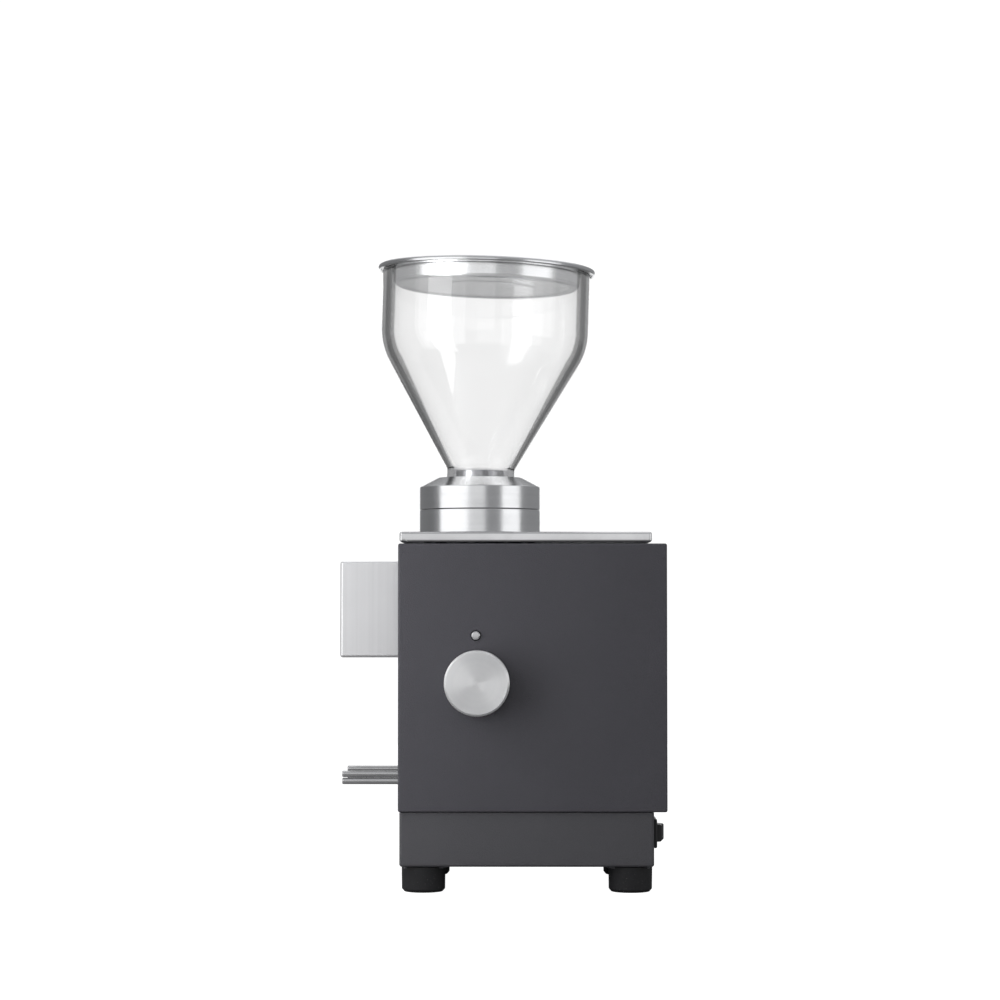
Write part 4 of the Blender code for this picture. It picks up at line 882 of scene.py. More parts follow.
# ---------------------------------------------------------------------------------------------- pieces


class GRINDER_OT_finishes(bpy.types.Operator):
    """Build every finish"""

    bl_idname = "grinder.finishes"
    bl_label = "Finishes"

    def execute(self, context):
        build_finishes()
        return {"FINISHED"}


class GRINDER_OT_side_panels(bpy.types.Operator):
    """Model the two side panels"""

    bl_idname = "grinder.side_panels"
    bl_label = "Side panels"

    def execute(self, context):
        near = block("panel_left", PANEL_LOW, PANEL_HIGH, sizes().panel_edge, 4)
        inside = PANEL_HIGH.y - PANEL_LOW.y + 2 * PAST
        knob_place = (KNOB_AXIS.x, PANEL_LOW.y - PAST, KNOB_AXIS.z)
        stud_place = (STUD_AXIS.x, PANEL_LOW.y - PAST, STUD_AXIS.z)
        away = (-math.pi / 2, 0, 0)
        combine(near, round_tool(0.0033, 0, inside, knob_place, away))
        combine(near, round_tool(0.0031, 0, inside, stud_place, away))
        far = block("panel_right", FAR_PANEL_LOW, FAR_PANEL_HIGH, sizes().panel_edge, 4)
        for panel, node in ((near, "side_panel_left"), (far, "side_panel_right")):
            smooth(panel)
            placed(panel, "housing", finish("panel_paint"), "powder_coat", node)
        return {"FINISHED"}


class GRINDER_OT_cross_panels(bpy.types.Operator):
    """Model the front panel with its cut-outs and the rear panel with its vents and screws"""

    bl_idname = "grinder.cross_panels"
    bl_label = "Front and rear panels"

    def execute(self, context):
        front = block("panel_front", FRONT_LOW, FRONT_HIGH, 0.0005, 2)
        width = 0.0346
        middle_z = self.outlet_middle()
        opening = prism("outlet_tool", rectangle(0.0226, width, 0.0015), -PAST, PAST * 2,
                        (FRONT_LOW.x, BURR_AXIS.y, middle_z), FACE_REAR)
        combine(front, opening)
        for side in ("left", "right"):
            low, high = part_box(f"fork_rod_{side}_lower")[0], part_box(f"fork_rod_{side}_upper")[1]
            centre = (low + high) / 2
            room = 2 * GAP
            slot = rectangle(high.z - low.z + room, high.y - low.y + room, (high.y - low.y + room) * 0.49)
            combine(front, prism("rod_tool", slot, -PAST, PAST * 2,
                (FRONT_LOW.x, centre.y, centre.z), FACE_REAR))
        rear = block("panel_rear", REAR_LOW, REAR_HIGH, 0.0005, 2)
        vent_middle = REAR_LOW.z + 0.1000
        for n in range(6):
            y = BURR_AXIS.y + (n - 2.5) * 0.010
            slot = rectangle(0.030, 0.004, 0.00195)
            combine(rear, prism("vent_tool", slot, -PAST * 2, PAST, (REAR_HIGH.x, y, vent_middle), FACE_REAR))
        for panel, node in ((front, "front_panel"), (rear, "rear_panel")):
            smooth(panel)
            placed(panel, "housing", finish("panel_paint"), "powder_coat", node)
        inset = 0.0085
        for end, z in (("low", REAR_LOW.z + inset), ("high", REAR_HIGH.z - inset)):
            for side, y in (("left", REAR_LOW.y + inset), ("right", REAR_HIGH.y - inset)):
                screw = socket_screw(f"rear_screw_{end}_{side}", 0.0028, 0.0018,
                    (REAR_HIGH.x, y, z), FACE_REAR)
                placed(screw, "housing", finish("zinc_plate"), "zinc_steel")
        return {"FINISHED"}

    def outlet_middle(self):
        """The height of the middle of the outlet, from the opening that the record states."""
        for opening in frame["record"]["physics"]["openings"]:
            if opening["name"] == "outlet":
                return (opening["box_m"][0][2] + opening["box_m"][1][2]) / 2
        raise RuntimeError("the record states no outlet")


class GRINDER_OT_base(bpy.types.Operator):
    """Model the folded base and its bottom plate with the pressed pads"""

    bl_idname = "grinder.base"
    bl_label = "Base"

    def execute(self, context):
        size = sizes()
        sheet = size.sheet
        above = Vector((0, 0, size.base_edge * 3))
        shell = block("base_body", BASE_LOW, BASE_HIGH + above, size.base_edge, 5)
        top_low = (BASE_LOW.x - PAST, BASE_LOW.y - PAST, BASE_HIGH.z)
        combine(shell, block("top_tool", top_low, BASE_HIGH + above + Vector((PAST, PAST, PAST))))
        bevel(shell, 0.0003, 2, 60)
        hollow_low = (BASE_LOW.x + sheet, BASE_LOW.y + sheet, BASE_LOW.z - PAST)
        hollow_high = (BASE_HIGH.x - sheet, BASE_HIGH.y - sheet, BASE_HIGH.z - sheet)
        combine(shell, block("hollow_tool", hollow_low, hollow_high))
        for node, ledge in (("switch_housing", 0.0015), ("power_inlet", 0.002)):
            low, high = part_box(node)
            cut_low = (BASE_HIGH.x - sheet - PAST, low.y + ledge, low.z + ledge)
            cut_high = (BASE_HIGH.x + PAST, high.y - ledge, high.z - ledge)
            combine(shell, block("opening_tool", cut_low, cut_high))
        smooth(shell)
        placed(shell, "housing", finish("base_paint"), "powder_coat", "base_shell")
        plate = block("base_plate", (PLATE_LOW.x, PLATE_LOW.y, BASE_LOW.z), PLATE_HIGH, 0.0003, 2)
        for foot in FEET:
            place = middle(f"foot_{foot}")
            combine(plate, round_tool(0.0023, -PAST, PAST * 2, (place.x, place.y, BASE_LOW.z), turns=24))
        smooth(plate)
        placed(plate, "housing", finish("base_paint"), "powder_coat", "bottom_plate")
        for foot in FEET:
            place = middle(f"foot_{foot}")
            pad = turned(
                f"base_pad_{foot}",
                [
                    (0.0055, PLATE_LOW.z),
                    (size.pad_radius - size.pad_slope, PLATE_LOW.z, 0.0004),
                    (size.pad_radius, BASE_LOW.z - HAIR),
                    (0.0055, BASE_LOW.z - HAIR),
                ],
                (place.x, place.y, 0),
                turns=72,
            )
            margin, reach = 0.0023, 0.0085
            low = (BASE_LOW.x + margin, place.y - reach, BASE_LOW.z - PAST)
            high = (BASE_HIGH.x - margin, place.y + reach, BASE_LOW.z + PAST)
            combine(pad, block("footprint_tool", low, high, 0.0009, 3), "INTERSECT")
            smooth(pad)
            placed(pad, "housing", finish("base_paint"), "powder_coat")
        return {"FINISHED"}


class GRINDER_OT_feet(bpy.types.Operator):
    """Model the rubber feet and their screws"""

    bl_idname = "grinder.feet"
    bl_label = "Feet"

    def execute(self, context):
        radius = sizes().foot_radius
        low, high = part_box("foot_front_left")
        recess, hole, floor = 0.0055, 0.0023, 0.0073
        corners = [
            (hole, high.z),
            (hole, floor),
            (recess, floor, 0.0004),
            (recess, low.z, 0.0006),
            (radius - 0.0016, low.z, 0.0004),
            (radius - 0.0002, low.z + 0.0016, 0.0006),
            (radius, high.z, 0.0003),
        ]
        first = turned("foot", corners, turns=72, steps=3)
        screw_low, screw_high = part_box("foot_screw_front_left")
        head = screw_low.z + 0.0025
        shank = [(0, head), (0.002, head), (0.002, screw_high.z, 0.0004), (0, screw_high.z)]
        for foot in FEET:
            place = middle(f"foot_{foot}")
            rubber_foot = copied(first, f"rubber_foot_{foot}")
            lay(rubber_foot, (place.x, place.y, 0))
            placed(rubber_foot, "housing", finish("foot_rubber"), "rubber", f"foot_{foot}")
            cap = socket_screw(f"foot_bolt_{foot}", 0.0038, 0.0025, (place.x, place.y, head), (math.pi, 0, 0))
            stem = turned("stem", shank, (place.x, place.y, 0), turns=24)
            screw = joined(f"foot_bolt_{foot}", [cap, stem])
            placed(screw, "housing", finish("zinc_plate"), "zinc_steel", f"foot_screw_{foot}")
        bpy.data.objects.remove(first, do_unlink=True)
        return {"FINISHED"}


class GRINDER_OT_tray(bpy.types.Operator):
    """Model the folded steel tray that covers the top"""

    bl_idname = "grinder.tray"
    bl_label = "Top tray"

    def execute(self, context):
        size = sizes()
        sheet = size.sheet
        tray = block("tray_cover", TRAY_LOW, TRAY_HIGH, size.tray_edge, 5)
        hollow_low = (TRAY_LOW.x + sheet, TRAY_LOW.y + sheet, TRAY_LOW.z - PAST)
        hollow_high = (TRAY_HIGH.x - sheet, TRAY_HIGH.y - sheet, TRAY_HIGH.z - sheet)
        combine(tray, block("hollow_tool", hollow_low, hollow_high))
        bore = (COLLAR_HIGH.x - COLLAR_LOW.x) / 2 - 0.00225
        combine(tray, round_tool(bore, -PAST, PAST * 3, (BURR_AXIS.x, BURR_AXIS.y, TRAY_LOW.z), turns=96))
        lip = TRAY_HIGH.z - TRAY_LOW.z
        for side_y in (TRAY_LOW.y, TRAY_HIGH.y):
            corner = (TRAY_LOW.x + lip * 0.35, side_y, TRAY_LOW.z + lip * 0.45)
            seam = block("seam_tool", (-lip, -0.00035, -0.00011), (lip, 0.00035, 0.00011))
            combine(tray, lay(seam, corner, (0, math.radians(42), 0)))
        smooth(tray)
        placed(tray, "housing", finish("polished_sheet"), "polished_steel", "top_tray")
        return {"FINISHED"}


class GRINDER_OT_chute(bpy.types.Operator):
    """Model the folded spout cover, open at the back and the bottom, with rounded bends"""

    bl_idname = "grinder.chute"
    bl_label = "Spout cover"

    def execute(self, context):
        cover = block("spout_cover", CHUTE_LOW, CHUTE_HIGH)
        only(cover)
        bpy.ops.object.mode_set(mode="EDIT")
        self.pick_edges(cover, lambda a, b: (a + b).x / 2 < CHUTE_HIGH.x - PAST)
        bpy.ops.mesh.bevel(offset=0.0015, segments=5, affect="EDGES")
        bpy.ops.object.mode_set(mode="OBJECT")
        only(cover)
        bpy.ops.object.mode_set(mode="EDIT")
        bpy.ops.mesh.select_all(action="DESELECT")
        bpy.ops.mesh.select_mode(type="FACE")
        bpy.ops.object.mode_set(mode="OBJECT")
        for face in cover.data.polygons:
            face.select = face.normal.x > 0.9 or face.normal.z < -0.99
        bpy.ops.object.mode_set(mode="EDIT")
        bpy.ops.mesh.delete(type="FACE")
        bpy.ops.object.mode_set(mode="OBJECT")
        finish_with(cover, "SOLIDIFY", thickness=0.0012, offset=-1.0, use_even_offset=True)
        smooth(cover, 40)
        placed(cover, "housing", finish("brushed_sheet"), "brushed_steel", "chute")
        return {"FINISHED"}

    def pick_edges(self, piece, wanted):
        """Select the edges whose ends pass a test, in edit mode."""
        bpy.ops.mesh.select_mode(type="EDGE")
        bpy.ops.mesh.select_all(action="DESELECT")
        bpy.ops.object.mode_set(mode="OBJECT")
        points = piece.data.vertices
        for edge in piece.data.edges:
            edge.select = wanted(points[edge.vertices[0]].co, points[edge.vertices[1]].co)
        bpy.ops.object.mode_set(mode="EDIT")


class GRINDER_OT_fork(bpy.types.Operator):
    """Model the four rods of the portafilter fork"""

    bl_idname = "grinder.fork"
    bl_label = "Fork"

    def execute(self, context):
        low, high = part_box("fork_rod_left_lower")
        radius, length = (high.z - low.z) / 2, high.x - low.x
        end = radius * 0.35
        first = turned("rod", [(0, 0), (radius, 0, end), (radius, length, end), (0, length)],
            turns=48, steps=5)
        for rod in RODS:
            node = f"fork_rod_{rod}"
            centre = middle(node)
            piece = copied(first, f"fork_bar_{rod}")
            lay(piece, (low.x, centre.y, centre.z), FACE_REAR)
            placed(piece, "housing", finish("polished_rod"), "polished_steel", node)
        bpy.data.objects.remove(first, do_unlink=True)
        return {"FINISHED"}


class GRINDER_OT_rings(bpy.types.Operator):
    """Model the fixed collar and the grind ring with its sloping shoulder"""

    bl_idname = "grinder.rings"
    bl_label = "Collar and grind ring"

    def execute(self, context):
        edge = sizes().ring_edge
        radius = (COLLAR_HIGH.x - COLLAR_LOW.x) / 2
        bore = 0.0289
        place = (BURR_AXIS.x, BURR_AXIS.y, 0)
        collar = turned(
            "fixed_collar",
            [
                (bore, COLLAR_LOW.z),
                (radius - 0.0003, COLLAR_LOW.z, edge / 2),
                (radius, COLLAR_LOW.z + 0.0006, edge / 2),
                (radius, COLLAR_HIGH.z, edge),
                (bore, COLLAR_HIGH.z),
            ],
            place,
            turns=160,
        )
        placed(collar, "housing", finish("turned_ring"), "turned_aluminium", "lower_collar")
        neck = sizes().neck_radius
        ring_bore = neck + 0.0007
        skirt = ring_bore + 0.0036
        throat = neck - sizes().hopper_wall + GAP
        bottom = COLLAR_HIGH.z + GAP
        seat = bottom - 0.0047
        shoulder = RING_HIGH.z - 0.0056
        sleeve, sleeve_top = throat - 0.0012, RING_HIGH.z + 0.0042
        ring = turned(
            "adjusting_ring",
            [
                (throat, RING_LOW.z, edge / 2),
                (skirt, RING_LOW.z, edge / 2),
                (skirt, bottom),
                (radius, bottom, edge),
                (radius, shoulder, edge * 1.5),
                (ring_bore + 0.0041, RING_HIGH.z, edge),
                (ring_bore, RING_HIGH.z, edge),
                (ring_bore, seat),
                (sleeve, seat, edge / 2),
                (sleeve, sleeve_top, edge),
                (sleeve - 0.0010, sleeve_top, edge),
                (sleeve - 0.0010, seat - 0.0015),
                (throat, seat - 0.0015),
            ],
            place,
            turns=160,
        )
        placed(ring, "grind_ring", finish("turned_ring"), "turned_aluminium", "grind_ring")
        return {"FINISHED"}


def hopper_levels():
    """Heights of the neck's top, the bend and the rim, measured along the leaning axis from its pivot."""
    size = sizes()
    neck_top = RING_HIGH.z + 0.0051
    bend = neck_top + (size.hopper_radius - size.neck_radius) / math.tan(size.hopper_cone)
    rim = bend + size.hopper_cylinder
    return tuple(level - LEAN_POINT.z for level in (neck_top, bend, rim))


class GRINDER_OT_hopper(bpy.types.Operator):
    """Model the clear hopper and its seal"""

    bl_idname = "grinder.hopper"
    bl_label = "Hopper"

    def execute(self, context):
        size = sizes()
        neck_top, bend, rim = hopper_levels()
        step = size.hopper_wall * math.tan(size.hopper_cone / 2)
        inner = size.hopper_radius - size.hopper_wall
        throat = size.neck_radius - size.hopper_wall * 0.78
        seat = COLLAR_HIGH.z + GAP - 0.0047 + 0.0007 - LEAN_POINT.z
        hopper = turned(
            "bean_hopper",
            [
                (throat, seat, 0.0008),
                (size.neck_radius, seat, 0.0008),
                (size.neck_radius, neck_top, 0.0030),
                (size.hopper_radius, bend, size.hopper_bend),
                (size.hopper_radius, rim, 0.0010),
                (inner, rim, 0.0010),
                (inner, bend + step, size.hopper_bend - size.hopper_wall),
                (throat, neck_top + 0.0006, 0.0026),
            ],
            LEAN_POINT,
            LEAN_TURN,
            turns=160,
            steps=10,
        )
        placed(hopper, "hopper", finish("clear_wall"), "clear_plastic", "hopper")
        half = 0.0011
        outer = size.neck_radius + 0.0006
        seal = turned(
            "neck_seal",
            [
                (size.neck_radius + GAP / 3, -half, 0.0002),
                (outer, -half, 0.00025),
                (outer, half, 0.00025),
                (size.neck_radius + GAP / 3, half, 0.0002),
            ],
            LEAN_POINT,
            LEAN_TURN,
            steps=3,
        )
        placed(seal, "hopper", finish("foot_rubber"), "rubber", "hopper_seal")
        return {"FINISHED"}


class GRINDER_OT_lid(bpy.types.Operator):
    """Model the spun lid with its rolled flange and its dished floor"""

    bl_idname = "grinder.lid"
    bl_label = "Hopper lid"

    def execute(self, context):
        size = sizes()
        rim = hopper_levels()[2] + GAP
        sheet = 0.0015
        flange = size.hopper_radius + size.lid_overhang
        skirt = size.hopper_radius - size.hopper_wall - 0.0012
        depth = 0.0105
        floor = rim - depth
        lid = turned(
            "bean_lid",
            [
                (0, floor + sheet),
                (skirt * 0.52, floor + sheet, 0.0010),
                (skirt * 0.55, floor + sheet + 0.0006, 0.0010),
                (skirt * 0.90, floor + sheet + 0.0006, 0.0010),
                (skirt * 0.92, floor + sheet, 0.0010),
                (skirt - sheet, floor + sheet, 0.0022),
                (skirt - sheet, rim + sheet, 0.0014),
                (flange, rim + sheet, 0.0013),
                (flange, rim - 0.0014, 0.0007),
                (flange - sheet, rim - 0.0014, 0.0006),
                (flange - sheet, rim, 0.0003),
                (skirt, rim, 0.0004),
                (skirt, floor, 0.0028),
                (skirt * 0.92, floor, 0.0010),
                (skirt * 0.90, floor + 0.0006, 0.0010),
                (skirt * 0.55, floor + 0.0006, 0.0010),
                (skirt * 0.52, floor, 0.0010),
                (0, floor),
            ],
            LEAN_POINT,
            LEAN_TURN,
            turns=160,
            steps=5,
        )
        placed(lid, "hopper_lid", finish("spun_lid"), "turned_aluminium", "hopper_lid")
        return {"FINISHED"}


class GRINDER_OT_knob(bpy.types.Operator):
    """Model the dose knob"""

    bl_idname = "grinder.knob"
    bl_label = "Dose knob"

    def execute(self, context):
        edge = sizes().knob_edge
        radius = (KNOB_HIGH.x - KNOB_LOW.x) / 2
        length = KNOB_HIGH.y - KNOB_LOW.y
        bore, hollow = 0.0033, 0.010
        knob = turned(
            "dose_dial",
            [
                (0, hollow),
                (bore, hollow),
                (bore, 0, 0.0004),
                (radius - 0.0030, 0, 0.0003),
                (radius - 0.0030, 0.0012, 0.0003),
                (radius, 0.0012, 0.0004),
                (radius, length - edge, 0.00015),
                (radius - edge, length, 0.00025),
                (0.0006, length),
                (0, length - 0.0003),
            ],
            (KNOB_AXIS.x, KNOB_HIGH.y, KNOB_AXIS.z),
            FACE_LEFT,
            turns=128,
        )
        placed(knob, "dose_knob", finish("spun_knob"), "turned_aluminium", "dose_knob")
        return {"FINISHED"}


class GRINDER_OT_stud(bpy.types.Operator):
    """Model the index stud and its ring, which is black as painted shade round the stud"""

    bl_idname = "grinder.stud"
    bl_label = "Index stud"

    def execute(self, context):
        low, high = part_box("index_stud")
        ring_low, ring_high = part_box("index_ring")
        radius = (high.x - low.x) / 2
        proud = PANEL_LOW.y - low.y
        place = (STUD_AXIS.x, PANEL_LOW.y, STUD_AXIS.z)
        depth = PANEL_LOW.y - PANEL_HIGH.y
        stud = turned(
            "index_pin",
            [
                (0, depth), (radius, depth), (radius, proud * 0.70, 0.0003),
                (radius * 0.80, proud, 0.0006), (0, proud),
            ],
            place,
            FACE_LEFT,
            turns=64,
            steps=6,
        )
        placed(stud, "housing", finish("polished_rod"), "polished_steel", "index_stud")
        outer, inner = (ring_high.x - ring_low.x) / 2 - 0.0004, radius + GAP / 2
        lift = 0.0002
        # painted shade: a black ring round the stud stands for the shade there
        ring = turned(
            "index_shade_ring",
            [(inner, depth), (outer, depth), (outer, lift, 0.00015), (inner, lift - 0.0004)],
            place,
            FACE_LEFT,
            turns=64,
            steps=2,
        )
        placed(ring, "housing", finish("black_moulding"), "black_plastic", "index_ring")
        return {"FINISHED"}


class GRINDER_OT_switch(bpy.types.Operator):
    """Model the power switch: its bezel with the well, and the rocking paddle"""

    bl_idname = "grinder.switch"
    bl_label = "Power switch"

    def execute(self, context):
        centre = (BEZEL_LOW + BEZEL_HIGH) / 2
        wall = BASE_HIGH.x
        height, width = BEZEL_HIGH.z - BEZEL_LOW.z, BEZEL_HIGH.y - BEZEL_LOW.y
        proud = BEZEL_HIGH.x - wall - GAP
        bezel = prism("switch_bezel", rectangle(height, width, 0.0012), 0, proud,
            (wall + GAP, centre.y, centre.z), FACE_REAR)
        bevel(bezel, 0.0009, 4, 60)
        body = block(
            "body_tool",
            (BEZEL_LOW.x, BEZEL_LOW.y + 0.0018, BEZEL_LOW.z + 0.0018),
            (wall + GAP + proud / 2, BEZEL_HIGH.y - 0.0018, BEZEL_HIGH.z - 0.0018),
            0.0004,
            2,
        )
        combine(bezel, body, "UNION")
        paddle_width, paddle_height = 0.0150, 0.0097
        well = rectangle(paddle_height + 0.0008, paddle_width + 0.0016, 0.0005)
        combine(bezel, prism("well_tool", well, -0.009, PAST * 2, (wall, centre.y, centre.z), FACE_REAR))
        smooth(bezel)
        placed(bezel, "housing", finish("black_moulding"), "black_plastic", "switch_housing")
        half = paddle_width / 2
        face = 0.0061
        paddle = prism(
            "switch_paddle",
            [
                (-0.0050, -0.0030, 0.0004),
                (-0.0010, -half, 0.0008),
                (face, -half + 0.0012, 0.0006),
                (face - 0.0012, 0, 0.0140),
                (face, half - 0.0012, 0.0006),
                (-0.0010, half, 0.0008),
                (-0.0050, 0.0030, 0.0004),
            ],
            -paddle_height / 2,
            paddle_height / 2,
        )
        side = [
            (-0.0052, -paddle_height / 2),
            (face, -paddle_height / 2, 0.0014),
            (face, paddle_height / 2, 0.0014),
            (-0.0052, paddle_height / 2),
        ]
        combine(paddle, prism("side_tool", side, -half * 1.2, half * 1.2,
                turn=(math.pi / 2, 0, 0)), "INTERSECT")
        lay(paddle, (wall, centre.y, middle("switch_rocker").z), (0, 0, -math.radians(8)))
        smooth(paddle)
        placed(paddle, "switch_rocker", finish("black_moulding"), "black_plastic", "switch_rocker")
        return {"FINISHED"}


class GRINDER_OT_inlet(bpy.types.Operator):
    """Model the power inlet with its socket and pins"""

    bl_idname = "grinder.inlet"
    bl_label = "Power inlet"

    def execute(self, context):
        centre = (INLET_LOW + INLET_HIGH) / 2
        wall = BASE_HIGH.x
        height, width = INLET_HIGH.z - INLET_LOW.z, INLET_HIGH.y - INLET_LOW.y
        proud = INLET_HIGH.x - wall - GAP
        place = (wall + GAP, centre.y, centre.z)
        inlet = prism("inlet_flange", rectangle(height, width, 0.0020), 0, proud, place, FACE_REAR)
        bevel(inlet, 0.0005, 3, 60)
        body = block(
            "body_tool",
            (INLET_LOW.x, INLET_LOW.y + 0.0023, INLET_LOW.z + 0.0023),
            (wall + GAP + proud / 2, INLET_HIGH.y - 0.0023, INLET_HIGH.z - 0.0023),
            0.0005,
            2,
        )
        combine(inlet, body, "UNION")
        half_height, half_width, cut = 0.008, 0.012, 0.0048
        socket = [
            (half_height, -half_width, 0.0008),
            (half_height, half_width, 0.0008),
            (-half_height + cut, half_width, 0.0008),
            (-half_height, half_width - cut, 0.0008),
            (-half_height, -half_width + cut, 0.0008),
            (-half_height + cut, -half_width, 0.0008),
        ]
        combine(inlet, prism("socket_tool", socket, -0.0160, PAST, place, FACE_REAR))
        smooth(inlet)
        pins = []
        for n, rise in ((-1, -0.001), (0, 0.002), (1, -0.001)):
            pin = block(
                f"pin_{n + 2}",
                (wall - 0.0165, centre.y + n * 0.007 - 0.001, centre.z + rise - 0.002),
                (wall - 0.0030, centre.y + n * 0.007 + 0.001, centre.z + rise + 0.002),
                0.0005,
                2,
            )
            pins.append(pin)
        blades = smooth(joined("inlet_pins", pins))
        placed(blades, "housing", finish("zinc_plate"), "zinc_steel")
        placed(inlet, "housing", finish("black_moulding"), "black_plastic", "power_inlet")
        return {"FINISHED"}


class GRINDER_OT_workings(bpy.types.Operator):
    """Give the inner pieces that the frame carries their finishes"""

    bl_idname = "grinder.workings"
    bl_label = "Workings"

    def execute(self, context):
        by_finish = {
            "cast_body": ("fork_bracket", "grinding_chamber", "motor_bell_lower", "motor_bell_upper"),
            "zinc_plate": ("top_plate", "burr_carrier", "drive_disc", "burr_nut", "knob_shaft"),
            "ground_steel": ("upper_burr", "lower_burr", "motor_rotor", "bearing_lower", "bearing_upper"),
            "turned_shaft": ("motor_shaft",),
            "copper_wire": ("motor_stator",),
            "black_moulding": ("cooling_fan",),
            "cable_jacket": ("motor_lead",),
            "white_moulding": ("timer_module", "run_capacitor"),
            "board_mask": ("control_board",),
        }
        screws = tuple(name for name in frame["nodes"] if name.startswith("chamber_screw"))
        by_finish["zinc_plate"] += screws
        for name, nodes in by_finish.items():
            for node in nodes:
                piece = frame["nodes"][node]
                for holder in piece.material_slots:
                    holder.material = finish(name)
        return {"FINISHED"}


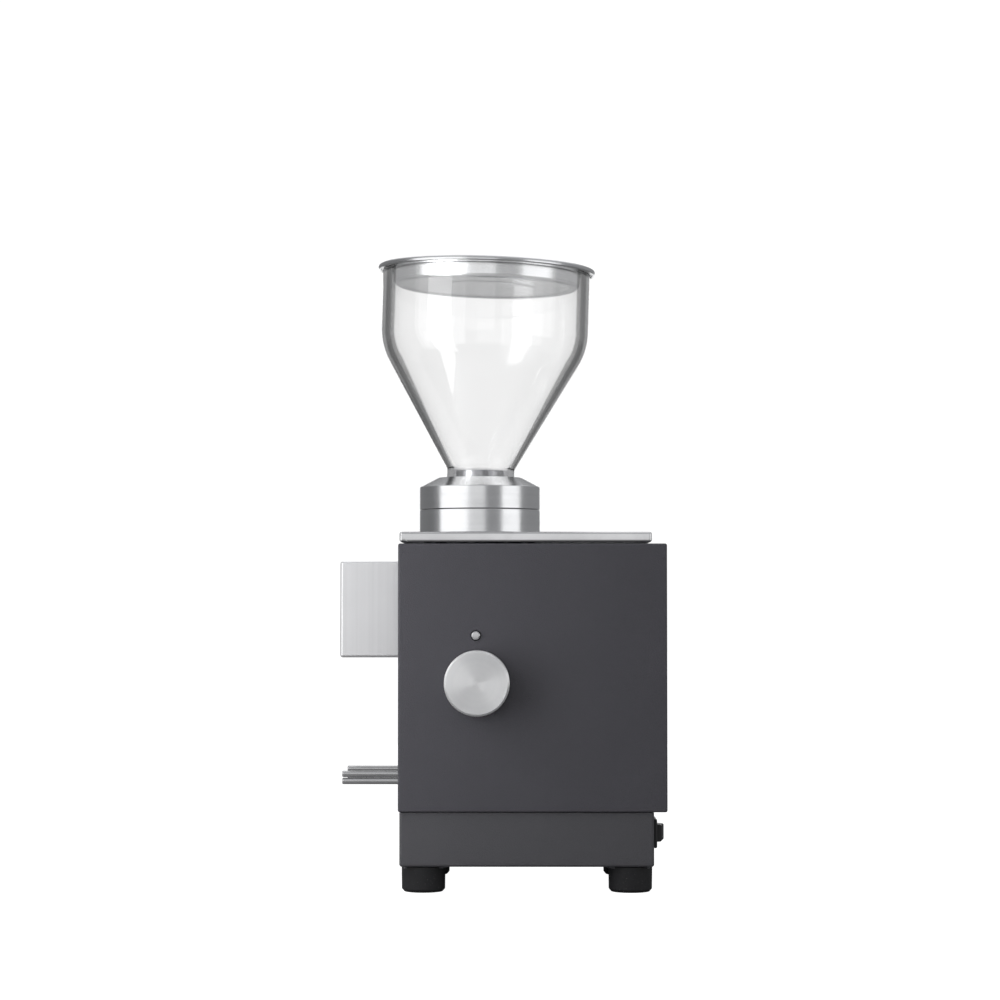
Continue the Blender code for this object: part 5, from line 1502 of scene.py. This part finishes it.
class GRINDER_OT_stage(bpy.types.Operator):
    """Lay the floor, hang the lights and place the camera"""

    bl_idname = "grinder.stage"
    bl_label = "Stage"

    def execute(self, context):
        self.lay_floor()
        self.light_world()
        self.hang_lights()
        self.place_camera()
        context.scene.view_settings.view_transform = "Standard"
        return {"FINISHED"}

    def lay_floor(self):
        """A round pale floor."""
        fresh()
        bpy.ops.mesh.primitive_circle_add(vertices=96, radius=7.0, fill_type="NGON", location=(0, 0, -0.0002))
        floor = settle(bpy.context.object)
        floor.name = "studio_floor"
        made = Finish("floor_paint", (0.86, 0.86, 0.86), 0.6, 0.0)
        grain = made.group("Surface Grain", Scale=90.0, Detail=2.0, Drift=1.5)
        made.colour(grain["Drift"], (0.25, 0.25, 0.25), (0.27, 0.27, 0.27))
        made.shader.inputs["Specular IOR Level"].default_value = 0.0
        made.shader.inputs["Emission Strength"].default_value = 1.0
        seen = plainly_seen(made.tree)
        glow = add_node(made.tree, "ShaderNodeCombineColor", Red=seen, Green=seen, Blue=seen)
        wire(made.tree, made.shader.inputs["Emission Color"], glow.outputs[0])
        floor.data.materials.append(made.material)

    def light_world(self):
        """White behind the object, and a quiet dark studio for reflections."""
        world = bpy.data.worlds.new("studio")
        bpy.context.scene.world = world
        world.use_nodes = True
        tree = world.node_tree
        tree.nodes.clear()
        direction = tree.nodes.new("ShaderNodeTexCoord").outputs["Generated"]
        parts = add_node(tree, "ShaderNodeSeparateXYZ", Vector=direction)
        behind = remap(tree, parts.outputs[0], -0.9, 0.9, 0.20, 0.30)
        ahead = remap(tree, parts.outputs[1], -0.2, 0.2, 1.0, 0.0)
        level = calculate(
            tree, "ADD",
            calculate(tree, "MULTIPLY", ahead, 0.36),
            calculate(tree, "MULTIPLY", calculate(tree, "SUBTRACT", 1.0, ahead), behind),
        )
        low_down = remap(tree, parts.outputs[2], 0.25, 0.6, 1.0, 1.7)
        studio = add_node(tree, "ShaderNodeBackground", Strength=calculate(tree, "MULTIPLY", level, low_down))
        studio.inputs["Color"].default_value = (0.97, 0.98, 1.0, 1)
        white = add_node(tree, "ShaderNodeBackground", Strength=1.05)
        white.inputs["Color"].default_value = (1, 1, 1, 1)
        seen = plainly_seen(tree)
        chosen = tree.nodes.new("ShaderNodeMixShader")
        tree.links.new(seen, chosen.inputs[0])
        tree.links.new(studio.outputs[0], chosen.inputs[1])
        tree.links.new(white.outputs[0], chosen.inputs[2])
        result = tree.nodes.new("ShaderNodeOutputWorld")
        tree.links.new(chosen.outputs[0], result.inputs["Surface"])

    def hang_lights(self):
        """Softboxes: azimuth from the camera's side, elevation, distance, width, height and radiance."""
        aim = Vector((0, 0, 0.19))
        for name, azimuth, elevation, distance, width, tall, radiance in (
            ("key_softbox", -51, 6, 0.46, 0.49, 0.46, 1.12),
            ("grazing_light", -52, 4, 0.32, 0.15, 0.50, 4.4),
            ("front_softbox", -6, 4, 1.75, 1.05, 0.66, 0.57),
            ("side_softbox", 62, 5, 1.20, 0.88, 0.52, 0.98),
            ("rear_softbox", 180, 2, 1.50, 0.95, 0.60, 1.05),
            ("top_softbox", 180, 68, 1.10, 1.20, 1.00, 0.95),
        ):
            side, rise = math.radians(azimuth), math.radians(elevation)
            away = Vector((math.sin(side) * math.cos(rise), -math.cos(side) * math.cos(rise), math.sin(rise)))
            lamp = bpy.data.lights.new(name, "AREA")
            lamp.shape = "RECTANGLE"
            lamp.size, lamp.size_y = width, tall
            lamp.energy = radiance * math.pi * width * tall
            holder = bpy.data.objects.new(name, lamp)
            bpy.context.scene.collection.objects.link(holder)
            holder.location = aim + away * distance
            holder.rotation_euler = away.to_track_quat("Z", "Y").to_euler()
            holder.visible_camera = False
            holder.visible_glossy = name != "grazing_light"
            holder.visible_transmission = name != "rear_softbox"

    def place_camera(self):
        """A long lens at the height of the body, level with the knob's side."""
        lens = bpy.data.cameras.new("view")
        lens.lens = 95.49
        lens.sensor_width = 36.0
        lens.clip_end = 50.0
        camera = bpy.data.objects.new("view", lens)
        bpy.context.scene.collection.objects.link(camera)
        camera.location = (0.01063, -1.55625, 0.1653)
        camera.rotation_euler = Vector((-20, 2652.5, 100)).to_track_quat("-Z", "Y").to_euler()
        bpy.context.scene.camera = camera


STEPS = (
    GRINDER_OT_finishes,
    GRINDER_OT_side_panels,
    GRINDER_OT_cross_panels,
    GRINDER_OT_base,
    GRINDER_OT_feet,
    GRINDER_OT_tray,
    GRINDER_OT_chute,
    GRINDER_OT_fork,
    GRINDER_OT_rings,
    GRINDER_OT_hopper,
    GRINDER_OT_lid,
    GRINDER_OT_knob,
    GRINDER_OT_stud,
    GRINDER_OT_switch,
    GRINDER_OT_inlet,
    GRINDER_OT_workings,
    GRINDER_OT_stage,
)


class GRINDER_PT_panel(bpy.types.Panel):
    """The grinder's steps, sizes and colours"""

    bl_idname = "GRINDER_PT_panel"
    bl_label = "Burr Coffee Grinder"
    bl_space_type = "VIEW_3D"
    bl_region_type = "UI"
    bl_category = "Grinder"

    def draw(self, context):
        column = self.layout.column()
        for step in STEPS:
            column.operator(step.bl_idname)
        for group in (context.scene.grinder_sizes, context.scene.grinder_finishes):
            for key in group.__annotations__:
                column.prop(group, key)


CLASSES = (GrinderSizes, GrinderFinishes, *STEPS, GRINDER_PT_panel)


def register():
    """Register the classes and hang the settings on the scene."""
    for item in CLASSES:
        bpy.utils.register_class(item)
    bpy.types.Scene.grinder_sizes = bpy.props.PointerProperty(type=GrinderSizes)
    bpy.types.Scene.grinder_finishes = bpy.props.PointerProperty(type=GrinderFinishes)


def unregister():
    """Remove the settings and the classes."""
    del bpy.types.Scene.grinder_finishes
    del bpy.types.Scene.grinder_sizes
    for item in reversed(CLASSES):
        bpy.utils.unregister_class(item)


def main():
    """Build the grinder step by step."""
    register()
    for step in STEPS:
        group, name = step.bl_idname.split(".")
        if getattr(getattr(bpy.ops, group), name)() != {"FINISHED"}:
            raise RuntimeError(f"{step.bl_label} didn't finish")
    fresh()


if __name__ == "__main__":
    main()
